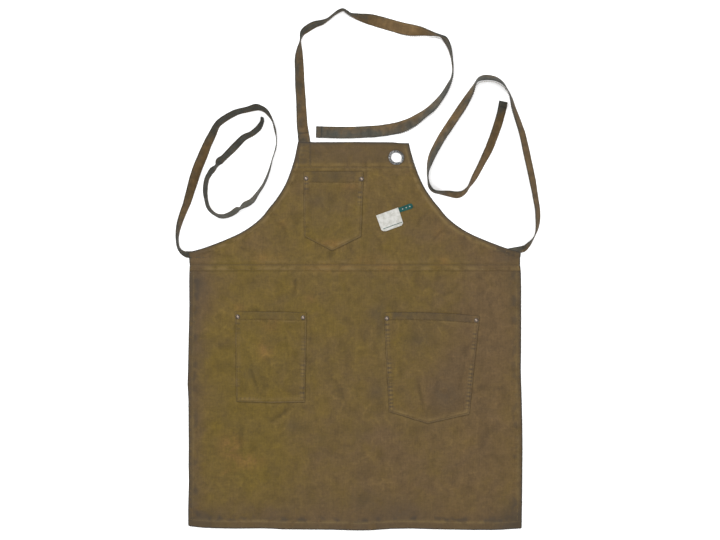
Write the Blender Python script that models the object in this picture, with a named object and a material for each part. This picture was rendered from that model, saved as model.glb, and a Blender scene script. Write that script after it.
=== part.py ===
"""Butcher apron: a waxed-canvas bib apron lying flat, front side up.

The cloth lies in the XY plane with +Z out of its front face and +Y towards
the top of the bib.  The origin is the middle of the cloth, on the surface it
lies on.  Layers from the back to the front: hems, facing and strap roots,
then the two panels, then the pockets, then rivets and thread.
"""
import math

import bmesh
import bpy
from mathutils import Vector

# ---------------------------------------------------------------- dimensions
HALF_WIDTH = 0.350          # half the width of the skirt
TOP_Y = 0.407               # top edge of the bib
BOTTOM_Y = -0.407           # bottom edge of the skirt
FOLD_Y = 0.1537             # line where the bib folds on the skirt
TOP_SHIFT = -0.0033         # the bib's top sits a little to the left
CORNER_RADIUS = 0.004

CLOTH = 0.0008              # one layer of waxed canvas
GAP = 0.0003                # clearance between touching pieces
THREAD = 0.0005             # width of a sewn row
THREAD_HEIGHT = 0.0004
SIDE_ROW_INSET = 0.0095
BOTTOM_ROW_INSET = 0.0153
NECK_BOX_HEIGHT = 0.0115     # the sewn boxes that hold the straps
TIE_BOX_HEIGHT = 0.0060
TIE_BOX_DROP = 0.0040
TIE_BOX_WIDTH = 0.0200

HEM_TOP = 0.0031            # the turned hems lie from 0 to here
FACING_BOTTOM = 0.0008
FACING_TOP = 0.0013
ROOT_BOTTOM = 0.0016        # sewn ends of the straps
ROOT_TOP = 0.0031
PANEL_BOTTOM = HEM_TOP + GAP
PANEL_TOP = PANEL_BOTTOM + CLOTH
ON_PANEL = PANEL_TOP + GAP
ON_POCKET = ON_PANEL + CLOTH + GAP

SIDE_HEM = 0.011
BOTTOM_HEM = 0.0145
ARMHOLE_HEM = 0.0095
ARMHOLE_HEM_TOP_Y = 0.3470
ARMHOLE_HEM_END_X = 0.312
FACING_BOTTOM_Y = 0.3475
FACING_ROW_Y = 0.3520
WAIST_ROWS = (0.1378, 0.1472)
ROW_END = 0.002             # a sewn row stops this far from the cloth's edge
BAND_BOTTOM_Y = 0.1370
BAND_TOP_Y = 0.1532

# Half width of the bib against height, from the corner up to the top edge.
ARMHOLE = (
    (0.350, 0.1740), (0.317, 0.1830), (0.273, 0.1995), (0.237, 0.2160),
    (0.211, 0.2330), (0.192, 0.2500), (0.1785, 0.2670), (0.165, 0.2835),
    (0.148, 0.3090), (0.1365, 0.3340), (0.125, 0.3675), (0.1165, TOP_Y),
)

POCKET_BELLY = 0.0062       # how far a pocket's middle stands off the panel
POCKET_RIM = 0.0115         # flat margin along a pocket's sewn edges
POCKET_RISE = 0.020         # width over which the margin rises to the belly
POCKET_COLUMNS = 12
POCKET_ROWS = 8
POCKET_STITCH_INSET = 0.0025

# Outline of each pocket: mouth left, mouth right, bottom right, tip, bottom left.
POCKETS = {
    "bib_pocket": ((-0.108, 0.3435), (0.018, 0.3435), (0.013, 0.2070),
                   (-0.048, 0.1765), (-0.107, 0.2070)),
    "left_pocket": ((-0.2525, 0.0495), (-0.1015, 0.0470), (-0.105, -0.1410),
                    (-0.177, -0.1425), (-0.2490, -0.1400)),
    "right_pocket": ((0.0605, 0.0470), (0.2620, 0.0400), (0.2400, -0.1660),
                     (0.1520, -0.1860), (0.0710, -0.1610)),
}
MOUTH_HEM = {"bib_pocket": 0.0240, "left_pocket": 0.0185, "right_pocket": 0.0170}
RIVETS = {
    "bib_pocket": ((-0.1025, 0.3285), (0.0140, 0.3275)),
    "left_pocket": ((-0.2465, 0.0385), (-0.1090, 0.0365)),
    "right_pocket": ((0.0670, 0.0350), (0.2550, 0.0310)),
}
CAP_RADIUS = 0.00475
CAP_RIM = 0.0005
CAP_DOME = 0.0018
POST_RADIUS = 0.0013
POST_HOLE_RADIUS = 0.0016
BURR_RADIUS = 0.0040
BURR_COLLAR_RADIUS = 0.0024
BURR_FLANGE = 0.0006

GROMMET = (0.0867, 0.3735)
GROMMET_OUTER = 0.0165
GROMMET_INNER = 0.0105
BARREL_RADIUS = 0.0113
GROMMET_HOLE = 0.0116
WASHER_RADIUS = 0.0155
WASHER_THICKNESS = 0.0005

STRAP_WIDTH = 0.025
STRAP_THICKNESS = 0.0015
STRAP_STEPS = 3             # cross-sections between two route points
NECK_ROOT_X = -0.1065
NECK_ROOT_BOTTOM_Y = 0.3560
TIE_ROOT_Y = {"left": 0.1690, "right": 0.1800}
TIE_ROOT_X = 0.3160
TIE_ROOT_WIDTH = 0.014      # the ties are folded narrower where they are sewn in
TIE_TAPER = 0.035           # length over which a tie opens to its full width
ROOT_LIFT = 0.030           # length over which a strap comes down to the ground

# Routes of the free straps: x, y in metres and the roll about the strap's own
# length in degrees, 0 lying flat and 90 standing on its edge.
NECK_ROUTE = (
    (-0.1065, 0.4074, 0), (-0.1085, 0.4235, 20), (-0.1108, 0.442, 26), (-0.1122, 0.470, 34),
    (-0.1136, 0.498, 37), (-0.1155, 0.526, 39), (-0.1164, 0.554, 42), (-0.1174, 0.5775, 46),
    (-0.1164, 0.596, 62), (-0.1150, 0.610, 80), (-0.1140, 0.6204, 88), (-0.1099, 0.6335, 69),
    (-0.099, 0.6428, 59), (-0.085, 0.6508, 62), (-0.0688, 0.6554, 71), (-0.057, 0.6615, 82),
    (-0.0455, 0.6708, 85), (-0.035, 0.678, 82), (-0.0254, 0.682, 85), (-0.0175, 0.6778, 82),
    (-0.009, 0.6718, 80), (0.0012, 0.6685, 69), (0.0152, 0.665, 50), (0.0338, 0.6615, 28),
    (0.0525, 0.6568, 12), (0.0758, 0.6503, 5), (0.0992, 0.6438, 6), (0.1178, 0.640, 18),
    (0.1365, 0.6372, 43), (0.1528, 0.6335, 64), (0.169, 0.6298, 82), (0.1794, 0.627, 84),
    (0.1888, 0.6204, 70), (0.1958, 0.6078, 72), (0.2009, 0.5915, 80), (0.204, 0.5728, 87),
    (0.205, 0.5565, 89), (0.2028, 0.5402, 83), (0.196, 0.5238, 72), (0.187, 0.5075, 66),
    (0.1748, 0.491, 59), (0.1599, 0.4748, 52), (0.141, 0.4608, 45), (0.120, 0.4468, 28),
    (0.099, 0.4375, 12), (0.0758, 0.432, 8), (0.0478, 0.428, 5), (0.0198, 0.4263, 5),
    (-0.008, 0.425, 5), (-0.036, 0.425, 5), (-0.064, 0.4258, 5), (-0.082, 0.4263, 5),
)
LEFT_TIE_ROUTE = (
    (-0.3504, 0.1690, 0), (-0.3570, 0.1705, 45), (-0.3640, 0.1750, 70), (-0.3695, 0.1830, 80),
    (-0.3720, 0.1950, 82), (-0.3720, 0.2120, 77), (-0.3675, 0.2350, 67), (-0.3595, 0.2580, 60),
    (-0.3528, 0.275, 56), (-0.3465, 0.296, 50), (-0.3381, 0.3255, 42), (-0.3297, 0.3507, 40),
    (-0.3192, 0.3759, 41), (-0.3087, 0.401, 48), (-0.2982, 0.422, 53), (-0.2898, 0.439, 62),
    (-0.2793, 0.4494, 60), (-0.2625, 0.460, 62), (-0.2457, 0.468, 66), (-0.2247, 0.473, 66),
    (-0.2079, 0.4775, 60), (-0.1974, 0.476, 68), (-0.187, 0.4704, 72), (-0.1785, 0.460, 78),
    (-0.172, 0.447, 85), (-0.167, 0.4284, 82), (-0.1646, 0.4137, 88), (-0.166, 0.3927, 87),
    (-0.1735, 0.3675, 85), (-0.1806, 0.342, 80), (-0.191, 0.317, 76), (-0.2037, 0.298, 72),
    (-0.2163, 0.2814, 69), (-0.231, 0.273, 71), (-0.2406, 0.2658, 82), (-0.2478, 0.2625, 69),
    (-0.2604, 0.254, 73), (-0.2772, 0.249, 75), (-0.294, 0.254, 77), (-0.3066, 0.2667, 76),
    (-0.312, 0.2856, 75), (-0.3137, 0.3045, 73), (-0.3108, 0.3255, 71), (-0.3045, 0.338, 70),
    (-0.2982, 0.3465, 71), (-0.2898, 0.355, 81), (-0.2843, 0.364, 66), (-0.275, 0.3717, 75),
    (-0.2625, 0.384, 69), (-0.2478, 0.399, 71), (-0.233, 0.4137, 74), (-0.2163, 0.422, 75),
    (-0.2025, 0.4335, 74), (-0.1950, 0.4465, 80), (-0.1942, 0.4570, 82),
)
RIGHT_TIE_ROUTE = (
    (0.3504, 0.1800, 0), (0.3570, 0.1830, 40), (0.3640, 0.1900, 62), (0.3715, 0.1995, 80),
    (0.3770, 0.2100, 86), (0.3808, 0.2220, 76), (0.3830, 0.2400, 64), (0.3825, 0.2625, 61),
    (0.3788, 0.2853, 59), (0.3742, 0.3127, 55), (0.3688, 0.340, 53), (0.3628, 0.3675, 52),
    (0.3569, 0.3949, 53), (0.3505, 0.4223, 55), (0.3432, 0.445, 60), (0.3368, 0.4634, 63),
    (0.3315, 0.4794, 67), (0.3275, 0.4953, 75), (0.3235, 0.5067, 81), (0.3186, 0.5159, 85),
    (0.3103, 0.5273, 77), (0.2989, 0.5355, 68), (0.2875, 0.539, 63), (0.2738, 0.540, 61),
    (0.2624, 0.5373, 66), (0.2546, 0.531, 79), (0.250, 0.5236, 79), (0.244, 0.5113, 66),
    (0.235, 0.4953, 54), (0.2236, 0.477, 48), (0.2099, 0.4565, 46), (0.1962, 0.436, 46),
    (0.1825, 0.4154, 48), (0.171, 0.3949, 50), (0.162, 0.3766, 56), (0.156, 0.3584, 67),
    (0.1528, 0.3424, 83), (0.1528, 0.3287, 87), (0.156, 0.3127, 80), (0.1643, 0.3023, 78),
    (0.178, 0.299, 75), (0.196, 0.2967, 63), (0.2145, 0.2940, 57), (0.228, 0.299, 68),
    (0.238, 0.3104, 78), (0.2464, 0.324, 66), (0.2578, 0.3447, 61), (0.2693, 0.3675, 59),
    (0.2807, 0.3903, 56), (0.2905, 0.4154, 54), (0.2995, 0.4405, 53), (0.3070, 0.4650, 52),
    (0.3105, 0.4800, 52), (0.3120, 0.4880, 52),
)

# Outline of the embroidered cleaver, from its own centre, before it is tilted.
EMBLEM = (
    (-0.039, 0.015), (-0.039, -0.017), (-0.036, -0.021), (-0.030, -0.023), (0.004, -0.023),
    (0.009, -0.019), (0.010, 0.0035), (0.014, 0.004), (0.036, 0.003), (0.040, 0.005),
    (0.041, 0.009), (0.039, 0.0135), (0.034, 0.0145), (0.014, 0.014), (0.010, 0.015),
)
EMBLEM_CENTRE = (0.0860, 0.2500)
EMBLEM_TILT = 20            # degrees, the handle's end upwards
EMBLEM_THICKNESS = 0.0005


# ----------------------------------------------------------------- materials
def material(name, color, roughness, metallic=0.0):
    """Return a Principled material of one colour."""
    mat = bpy.data.materials.new(name)
    mat.use_nodes = True
    shader = mat.node_tree.nodes["Principled BSDF"]
    shader.inputs["Base Color"].default_value = (*color, 1.0)
    shader.inputs["Roughness"].default_value = roughness
    shader.inputs["Metallic"].default_value = metallic
    return mat


# ------------------------------------------------------------- mesh building
def add_object(name, mesh_data, mat, smooth=False):
    """Make a mesh object from a bmesh, with its faces pointing out."""
    bmesh.ops.recalc_face_normals(mesh_data, faces=mesh_data.faces)
    mesh = bpy.data.meshes.new(name)
    mesh_data.to_mesh(mesh)
    mesh_data.free()
    mesh.materials.append(mat)
    if smooth:
        mesh.shade_smooth()
        mesh.set_sharp_from_angle(angle=math.radians(40))
    obj = bpy.data.objects.new(name, mesh)
    bpy.context.scene.collection.objects.link(obj)
    return obj


def slab(name, outline, bottom, top, mat):
    """Extrude a flat outline from bottom to top."""
    data = bmesh.new()
    face = data.faces.new([data.verts.new((x, y, bottom)) for x, y in outline])
    extruded = bmesh.ops.extrude_face_region(data, geom=[face])
    raised = [v for v in extruded["geom"] if isinstance(v, bmesh.types.BMVert)]
    bmesh.ops.translate(data, verts=raised, vec=(0, 0, top - bottom))
    return add_object(name, data, mat)


def turned(name, profile, centre, mat, segments):
    """Spin a profile of (radius, z) points about the vertical through centre."""
    data = bmesh.new()
    rings = []
    for radius, z in profile:
        if radius == 0:
            rings.append([data.verts.new((centre[0], centre[1], z))])
            continue
        ring = []
        for step in range(segments):
            angle = math.tau * step / segments
            x = centre[0] + radius * math.cos(angle)
            y = centre[1] + radius * math.sin(angle)
            ring.append(data.verts.new((x, y, z)))
        rings.append(ring)
    closed = profile[0][0] > 0
    pairs = list(zip(rings, rings[1:]))
    if closed:
        pairs.append((rings[-1], rings[0]))
    for lower, upper in pairs:
        for step in range(segments):
            after = (step + 1) % segments
            corners = [lower[step % len(lower)], lower[after % len(lower)],
                       upper[after % len(upper)], upper[step % len(upper)]]
            data.faces.new(list(dict.fromkeys(corners)))
    return add_object(name, data, mat, smooth=True)


def catmull_rom(points, steps):
    """Read a smooth curve through points, with some steps between two of them."""
    points = [Vector(p) for p in points]
    ends = [2 * points[0] - points[1]] + points + [2 * points[-1] - points[-2]]
    curve = []
    for a, b, c, d in zip(ends, ends[1:], ends[2:], ends[3:]):
        for step in range(steps):
            t = step / steps
            curve.append(0.5 * (2 * b + (c - a) * t + (2 * a - 5 * b + 4 * c - d) * t * t
                                + (3 * b - a - 3 * c + d) * t ** 3))
    curve.append(points[-1])
    return curve


def offset_line(points, distance):
    """Move a line of (x, y) points sideways, to its left for a positive distance."""
    moved = []
    for index, point in enumerate(points):
        before = Vector(points[max(index - 1, 0)])
        after = Vector(points[min(index + 1, len(points) - 1)])
        here = Vector(point)
        sides = []
        for a, b in ((before, here), (here, after)):
            if (b - a).length > 0:
                along = (b - a).normalized()
                sides.append(Vector((-along.y, along.x)))
        normal = sum(sides, Vector((0, 0))).normalized()
        reach = distance / max(normal.dot(sides[0]), 0.3)
        moved.append(tuple(here + normal * reach))
    return moved


def thread_row(name, line, bottom, mat):
    """Lay a thin flat thread along a line of (x, y) points."""
    left = offset_line(line, THREAD / 2)
    right = offset_line(line, -THREAD / 2)
    return slab(name, left + right[::-1], bottom, bottom + THREAD_HEIGHT, mat)


def cut_hole(obj, centre, radius):
    """Punch a round hole through obj with a hidden cutter."""
    data = bmesh.new()
    bmesh.ops.create_cone(data, cap_ends=True, segments=20, radius1=radius, radius2=radius,
                          depth=0.04)
    bmesh.ops.translate(data, verts=data.verts, vec=(centre[0], centre[1], 0))
    cutter = add_object(f"cutter_{obj.name}", data, obj.data.materials[0])
    cutter.hide_render = True
    cutter.display_type = "WIRE"
    cut = obj.modifiers.new("hole", "BOOLEAN")
    cut.operation = "DIFFERENCE"
    cut.object = cutter


# --------------------------------------------------------------------- cloth
def armhole_line(side):
    """Edge of the bib from the waist corner up to the top, side -1 or 1."""
    line = []
    for half, y in catmull_rom(ARMHOLE, 3):
        share = (y - FOLD_Y) / (TOP_Y - FOLD_Y)
        line.append((side * half + TOP_SHIFT * share, y))
    return line


def x_at(line, y):
    """Find where an armhole line reaches height y."""
    for (x0, y0), (x1, y1) in zip(line, line[1:]):
        if y0 <= y <= y1:
            return x0 + (x1 - x0) * (y - y0) / (y1 - y0)
    return line[-1][0]


def make_panels(canvas):
    """Make the skirt and the bib, which meet along the fold line."""
    top = FOLD_Y - 0.0002
    r = CORNER_RADIUS
    skirt = slab("skirt_panel", [
        (-HALF_WIDTH, top), (-HALF_WIDTH, BOTTOM_Y + r), (-HALF_WIDTH + r, BOTTOM_Y),
        (HALF_WIDTH - r, BOTTOM_Y), (HALF_WIDTH, BOTTOM_Y + r), (HALF_WIDTH, top),
    ], PANEL_BOTTOM, PANEL_TOP, canvas)
    base = FOLD_Y + 0.0002
    outline = [(-HALF_WIDTH, base), (HALF_WIDTH, base)]
    outline += armhole_line(1) + armhole_line(-1)[::-1]
    bib = slab("bib_panel", outline, PANEL_BOTTOM, PANEL_TOP, canvas)
    cut_hole(bib, GROMMET, GROMMET_HOLE)
    return skirt, bib


def make_hems(canvas):
    """Make the turned hems, the waist seam's allowance and the bib's facing."""
    inner = HALF_WIDTH - SIDE_HEM
    low = BOTTOM_Y + BOTTOM_HEM
    for name, side in (("left_side_hem", -1), ("right_side_hem", 1)):
        xs = sorted((side * HALF_WIDTH, side * inner))
        slab(name, [(xs[0], low + GAP), (xs[1], low + GAP), (xs[1], BAND_BOTTOM_Y - GAP),
                    (xs[0], BAND_BOTTOM_Y - GAP)], 0, HEM_TOP, canvas)
    r = CORNER_RADIUS
    slab("bottom_hem", [
        (-HALF_WIDTH, low), (-HALF_WIDTH, BOTTOM_Y + r), (-HALF_WIDTH + r, BOTTOM_Y),
        (HALF_WIDTH - r, BOTTOM_Y), (HALF_WIDTH, BOTTOM_Y + r), (HALF_WIDTH, low),
    ], 0, HEM_TOP, canvas)
    slab("waist_seam_band", [
        (-HALF_WIDTH, BAND_BOTTOM_Y), (HALF_WIDTH, BAND_BOTTOM_Y),
        (HALF_WIDTH, BAND_TOP_Y), (-HALF_WIDTH, BAND_TOP_Y),
    ], 0, HEM_TOP, canvas)
    facing_sides = []
    for side, name in ((1, "right_armhole_hem"), (-1, "left_armhole_hem")):
        edge = armhole_line(side)
        hem = [p for p in edge if abs(p[0]) < ARMHOLE_HEM_END_X and p[1] < ARMHOLE_HEM_TOP_Y]
        hem.append((x_at(edge, ARMHOLE_HEM_TOP_Y), ARMHOLE_HEM_TOP_Y))
        inside = offset_line(hem, side * ARMHOLE_HEM)
        slab(name, hem + inside[::-1], 0, HEM_TOP, canvas)
        part = [(x_at(edge, FACING_BOTTOM_Y), FACING_BOTTOM_Y)]
        part += [p for p in edge if p[1] > FACING_BOTTOM_Y + 0.001]
        facing_sides.append(part)
    facing = slab("bib_top_facing", facing_sides[0] + facing_sides[1][::-1],
                  FACING_BOTTOM, FACING_TOP, canvas)
    cut_hole(facing, GROMMET, GROMMET_HOLE)


# ------------------------------------------------------------------- pockets
def pocket_point(corners, u, v):
    """Point of a pocket: u from left to right, v from the mouth to the bottom."""
    mouth_left, mouth_right, bottom_right, tip, bottom_left = [Vector(c) for c in corners]
    top = mouth_left.lerp(mouth_right, u)
    tip_u = (tip.x - bottom_left.x) / (bottom_right.x - bottom_left.x)
    if u <= tip_u:
        bottom = bottom_left.lerp(tip, u / tip_u)
    else:
        bottom = tip.lerp(bottom_right, (u - tip_u) / (1 - tip_u))
    return top.lerp(bottom, v)


def smooth_step(value):
    """Rise smoothly from 0 to 1."""
    value = min(max(value, 0.0), 1.0)
    return value * value * (3 - 2 * value)


def pocket_height(corners, u, v):
    """How far the pocket stands off the panel at u, v."""
    width = corners[1][0] - corners[0][0]
    from_side = min(u, 1 - u) * width
    across = smooth_step((from_side - POCKET_RIM) / POCKET_RISE)
    down = smooth_step((0.90 - v) / 0.45)
    return POCKET_BELLY * across * down


def pocket_columns(corners):
    """Column positions: both edges, both ends of each rise and the tip."""
    width = corners[1][0] - corners[0][0]
    tip_u = (corners[3][0] - corners[4][0]) / (corners[2][0] - corners[4][0])
    marks = {0.0, 1.0, tip_u}
    for distance in (POCKET_RIM, POCKET_RIM + POCKET_RISE / 2, POCKET_RIM + POCKET_RISE):
        marks.add(distance / width)
        marks.add(1 - distance / width)
    for step in range(1, 4):
        marks.add(tip_u + (step - 2) * 0.07)
    return sorted(marks)


def make_pocket(name, canvas):
    """Make a pocket as a shell that is open at its mouth."""
    corners = POCKETS[name]
    columns = pocket_columns(corners)
    data = bmesh.new()
    layers = []
    for level in (ON_PANEL, ON_PANEL + CLOTH):
        grid = []
        for row in range(POCKET_ROWS + 1):
            v = row / POCKET_ROWS
            line = []
            for u in columns:
                place = pocket_point(corners, u, v)
                z = level + pocket_height(corners, u, v)
                line.append(data.verts.new((place.x, place.y, z)))
            grid.append(line)
        layers.append(grid)
    last = len(columns) - 1
    for grid in layers:
        for row in range(POCKET_ROWS):
            for col in range(last):
                data.faces.new((grid[row][col], grid[row][col + 1],
                                grid[row + 1][col + 1], grid[row + 1][col]))
    rim = [(0, col) for col in range(last)]
    rim += [(row, last) for row in range(POCKET_ROWS)]
    rim += [(POCKET_ROWS, col) for col in range(last, 0, -1)]
    rim += [(row, 0) for row in range(POCKET_ROWS, 0, -1)]
    for (r0, c0), (r1, c1) in zip(rim, rim[1:] + rim[:1]):
        data.faces.new((layers[0][r0][c0], layers[0][r1][c1],
                        layers[1][r1][c1], layers[1][r0][c0]))
    pocket = add_object(name, data, canvas)
    for centre in RIVETS[name]:
        cut_hole(pocket, centre, POST_HOLE_RADIUS)
    return pocket


def make_pocket_threads(name, thread):
    """Sew a pocket down along its sides and bottom, and hem its mouth."""
    corners = POCKETS[name]
    start_v = 0.17
    line = [tuple(pocket_point(corners, 0, start_v)), corners[4], corners[3], corners[2],
            tuple(pocket_point(corners, 1, start_v))]
    thread_row(f"{name}_stitching", offset_line(line, POCKET_STITCH_INSET), ON_POCKET, thread)

    depth = corners[0][1] - corners[4][1]
    v = MOUTH_HEM[name] / depth
    margin = 0.99 * POCKET_RIM / (corners[1][0] - corners[0][0])
    columns = [u for u in pocket_columns(corners) if margin < u < 1 - margin]
    data = bmesh.new()
    rings = []
    for u in columns:
        place = pocket_point(corners, u, v)
        z = ON_POCKET + pocket_height(corners, u, v) + 0.0001
        rings.append([data.verts.new((place.x, place.y + dy, z + dz))
                      for dy, dz in ((0, 0), (THREAD, 0), (THREAD, THREAD_HEIGHT),
                                     (0, THREAD_HEIGHT))])
    for before, after in zip(rings, rings[1:]):
        for index in range(4):
            following = (index + 1) % 4
            data.faces.new((before[index], before[following],
                            after[following], after[index]))
    data.faces.new(rings[0])
    data.faces.new(rings[-1])
    add_object(f"{name}_mouth_stitching", data, thread)


def make_rivets(panels, brass):
    """Make each rivet's cap with its post, and the burr behind the cloth."""
    dome_top = ON_POCKET + CAP_RIM + CAP_DOME
    for name, centres in RIVETS.items():
        panel = panels[name]
        for label, centre in zip(("left", "right"), centres):
            cut_hole(panel, centre, POST_HOLE_RADIUS)
            profile = [(0, BURR_FLANGE), (POST_RADIUS, BURR_FLANGE), (POST_RADIUS, ON_POCKET),
                       (CAP_RADIUS, ON_POCKET), (CAP_RADIUS, ON_POCKET + CAP_RIM),
                       (CAP_RADIUS * 0.80, ON_POCKET + CAP_RIM + CAP_DOME * 0.60),
                       (CAP_RADIUS * 0.42, ON_POCKET + CAP_RIM + CAP_DOME * 0.92),
                       (0, dome_top)]
            turned(f"{name}_rivet_cap_{label}", profile, centre, brass, 16)
            burr = [(POST_HOLE_RADIUS, 0), (BURR_RADIUS, 0), (BURR_RADIUS, BURR_FLANGE),
                    (BURR_COLLAR_RADIUS, BURR_FLANGE + 0.0004),
                    (BURR_COLLAR_RADIUS, HEM_TOP), (POST_HOLE_RADIUS, HEM_TOP)]
            turned(f"{name}_rivet_burr_{label}", burr, centre, brass, 16)


# --------------------------------------------------------- grommet and emblem
def make_grommet(metal):
    """Make the eyelet's front ring with its barrel, and its back washer."""
    inner = GROMMET_INNER
    outer = GROMMET_OUTER
    base = ON_PANEL
    face = [(inner, 0.0003), (BARREL_RADIUS, 0.0003), (BARREL_RADIUS, base), (outer, base),
            (outer, base + 0.0006), (outer - 0.0013, base + 0.0014),
            (outer - 0.0030, base + 0.0018), (inner + 0.0016, base + 0.0014),
            (inner + 0.0005, base + 0.0007), (inner, base)]
    turned("grommet_face", face, GROMMET, metal, 32)
    washer = [(GROMMET_HOLE, 0), (WASHER_RADIUS, 0), (WASHER_RADIUS, WASHER_THICKNESS),
              (GROMMET_HOLE, WASHER_THICKNESS)]
    turned("grommet_washer", washer, GROMMET, metal, 32)


def make_emblem(thread):
    """Make the embroidered patch."""
    tilt = math.radians(EMBLEM_TILT)
    outline = [(EMBLEM_CENTRE[0] + x * math.cos(tilt) - y * math.sin(tilt),
                EMBLEM_CENTRE[1] + x * math.sin(tilt) + y * math.cos(tilt)) for x, y in EMBLEM]
    slab("emblem", outline, ON_PANEL, ON_PANEL + EMBLEM_THICKNESS, thread)


# -------------------------------------------------------------------- threads
def make_threads(thread):
    """Sew the rows along the hems, the waist seam, the facing and the straps."""
    row_x = HALF_WIDTH - SIDE_ROW_INSET
    low = BOTTOM_Y + BOTTOM_ROW_INSET
    end_x = HALF_WIDTH - ROW_END
    thread_row("bottom_hem_stitching", [(-end_x, low), (end_x, low)], ON_PANEL, thread)
    for name, side in (("left_side_stitching", -1), ("right_side_stitching", 1)):
        thread_row(name, [(side * row_x, low + 3 * THREAD), (side * row_x, BAND_BOTTOM_Y - 2 * THREAD)],
                   ON_PANEL, thread)
    for name, y in zip(("waist_stitching_lower", "waist_stitching_upper"), WAIST_ROWS):
        thread_row(name, [(-end_x, y), (end_x, y)], ON_PANEL, thread)
    left = x_at(armhole_line(-1), FACING_ROW_Y) + ROW_END
    right = x_at(armhole_line(1), FACING_ROW_Y) - ROW_END
    thread_row("bib_facing_stitching", [(left, FACING_ROW_Y), (right, FACING_ROW_Y)],
               ON_PANEL, thread)
    for name, side in (("left_armhole_stitching", -1), ("right_armhole_stitching", 1)):
        edge = [p for p in armhole_line(side)
                if abs(p[0]) < ARMHOLE_HEM_END_X and p[1] < FACING_ROW_Y - 2 * THREAD]
        thread_row(name, offset_line(edge, side * ARMHOLE_HEM), ON_PANEL, thread)

    half = STRAP_WIDTH / 2 - ROW_END
    low = NECK_ROOT_BOTTOM_Y + ROW_END
    high = low + NECK_BOX_HEIGHT
    x = NECK_ROOT_X
    thread_row("neck_strap_stitching", [(x - half, low), (x - half, high),
                                        (x + half, high), (x + half, low)], ON_PANEL, thread)
    inner = TIE_ROOT_X + ROW_END
    for label, side in (("left", -1), ("right", 1)):
        high = TIE_ROOT_Y[label] - TIE_BOX_DROP
        low = high - TIE_BOX_HEIGHT
        outer = inner + TIE_BOX_WIDTH
        thread_row(f"{label}_tie_stitching", [(side * outer, low), (side * inner, low),
                                              (side * inner, high), (side * outer, high)],
                   ON_PANEL, thread)


# --------------------------------------------------------------------- straps
def make_strap_roots(webbing):
    """Make the short sewn ends of the straps, behind the panel."""
    half = STRAP_WIDTH / 2
    slab("neck_strap_root", [
        (NECK_ROOT_X - half, NECK_ROOT_BOTTOM_Y), (NECK_ROOT_X + half, NECK_ROOT_BOTTOM_Y),
        (NECK_ROOT_X + half, TOP_Y), (NECK_ROOT_X - half, TOP_Y),
    ], ROOT_BOTTOM, ROOT_TOP, webbing)
    half = TIE_ROOT_WIDTH / 2
    for label, side in (("left", -1), ("right", 1)):
        xs = sorted((side * TIE_ROOT_X, side * HALF_WIDTH))
        y = TIE_ROOT_Y[label]
        slab(f"{label}_tie_root", [(xs[0], y - half), (xs[1], y - half),
                                   (xs[1], y + half), (xs[0], y + half)],
             ROOT_BOTTOM, ROOT_TOP, webbing)


def make_strap(name, route, first_direction, first_width, webbing):
    """Sweep the strap's flat section along its route, rolled as the route says.

    The strap rests on the ground by its lower edge, apart from its first few
    centimetres, which come down from the layer where the root is sewn.
    """
    curve = catmull_rom(route, STRAP_STEPS)
    data = bmesh.new()
    rings = []
    walked = 0.0
    for index, (x, y, roll_degrees) in enumerate(curve):
        before = curve[max(index - 1, 0)]
        after = curve[min(index + 1, len(curve) - 1)]
        along = Vector((after.x - before.x, after.y - before.y, 0)).normalized()
        if index == 0:
            along = Vector(first_direction)
        else:
            walked += (Vector((x, y)) - Vector(before[:2])).length
        roll = math.radians(roll_degrees)
        level = Vector((-along.y, along.x, 0))
        across = level * math.cos(roll) + Vector((0, 0, math.sin(roll)))
        normal = along.cross(across)
        width = first_width + (STRAP_WIDTH - first_width) * smooth_step(walked / TIE_TAPER)
        lift = ROOT_BOTTOM * (1 - smooth_step(walked / ROOT_LIFT))
        z = (width * abs(math.sin(roll)) + STRAP_THICKNESS * abs(math.cos(roll))) / 2
        centre = Vector((x, y, z + lift))
        rings.append([
            data.verts.new(centre + across * (width / 2 * a)
                           + normal * (STRAP_THICKNESS / 2 * b))
            for a, b in ((-1, -1), (1, -1), (1, 1), (-1, 1))])
    for before, after in zip(rings, rings[1:]):
        for side in range(4):
            following = (side + 1) % 4
            data.faces.new((before[side], before[following],
                            after[following], after[side]))
    data.faces.new(rings[0])
    data.faces.new(rings[-1])
    add_object(name, data, webbing, smooth=True)


# ----------------------------------------------------------------------- main
def main():
    """Build every piece of the apron."""
    for obj in list(bpy.data.objects):
        bpy.data.objects.remove(obj)
    canvas = material("waxed_canvas", (0.155, 0.102, 0.038), 0.75)
    webbing = material("strap_cloth", (0.085, 0.062, 0.038), 0.80)
    thread = material("thread", (0.16, 0.10, 0.035), 0.85)
    brass = material("antique_brass", (0.42, 0.33, 0.24), 0.35, 1.0)
    steel = material("bright_nickel", (0.72, 0.72, 0.72), 0.25, 1.0)
    cream = material("embroidery", (0.75, 0.72, 0.62), 0.80)

    skirt, bib = make_panels(canvas)
    make_hems(canvas)
    for name in POCKETS:
        make_pocket(name, canvas)
        make_pocket_threads(name, thread)
    make_rivets({"bib_pocket": bib, "left_pocket": skirt, "right_pocket": skirt}, brass)
    make_grommet(steel)
    make_emblem(cream)
    make_threads(thread)
    make_strap_roots(webbing)
    make_strap("neck_strap", NECK_ROUTE, (0, 1, 0), STRAP_WIDTH, webbing)
    make_strap("left_tie", LEFT_TIE_ROUTE, (-1, 0, 0), TIE_ROOT_WIDTH, webbing)
    make_strap("right_tie", RIGHT_TIE_ROUTE, (1, 0, 0), TIE_ROOT_WIDTH, webbing)


main()
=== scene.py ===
"""Looks of the butcher apron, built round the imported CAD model.

Every piece is made in the row's own frame, in metres: +Z out of the cloth's
front, +Y towards the top of the bib.  Places come from the CAD nodes' boxes
and from the few driving sizes below, which part.py uses too.
"""
import math

import bpy
import numpy as np
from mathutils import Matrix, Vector
from mathutils.geometry import delaunay_2d_cdt


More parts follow.
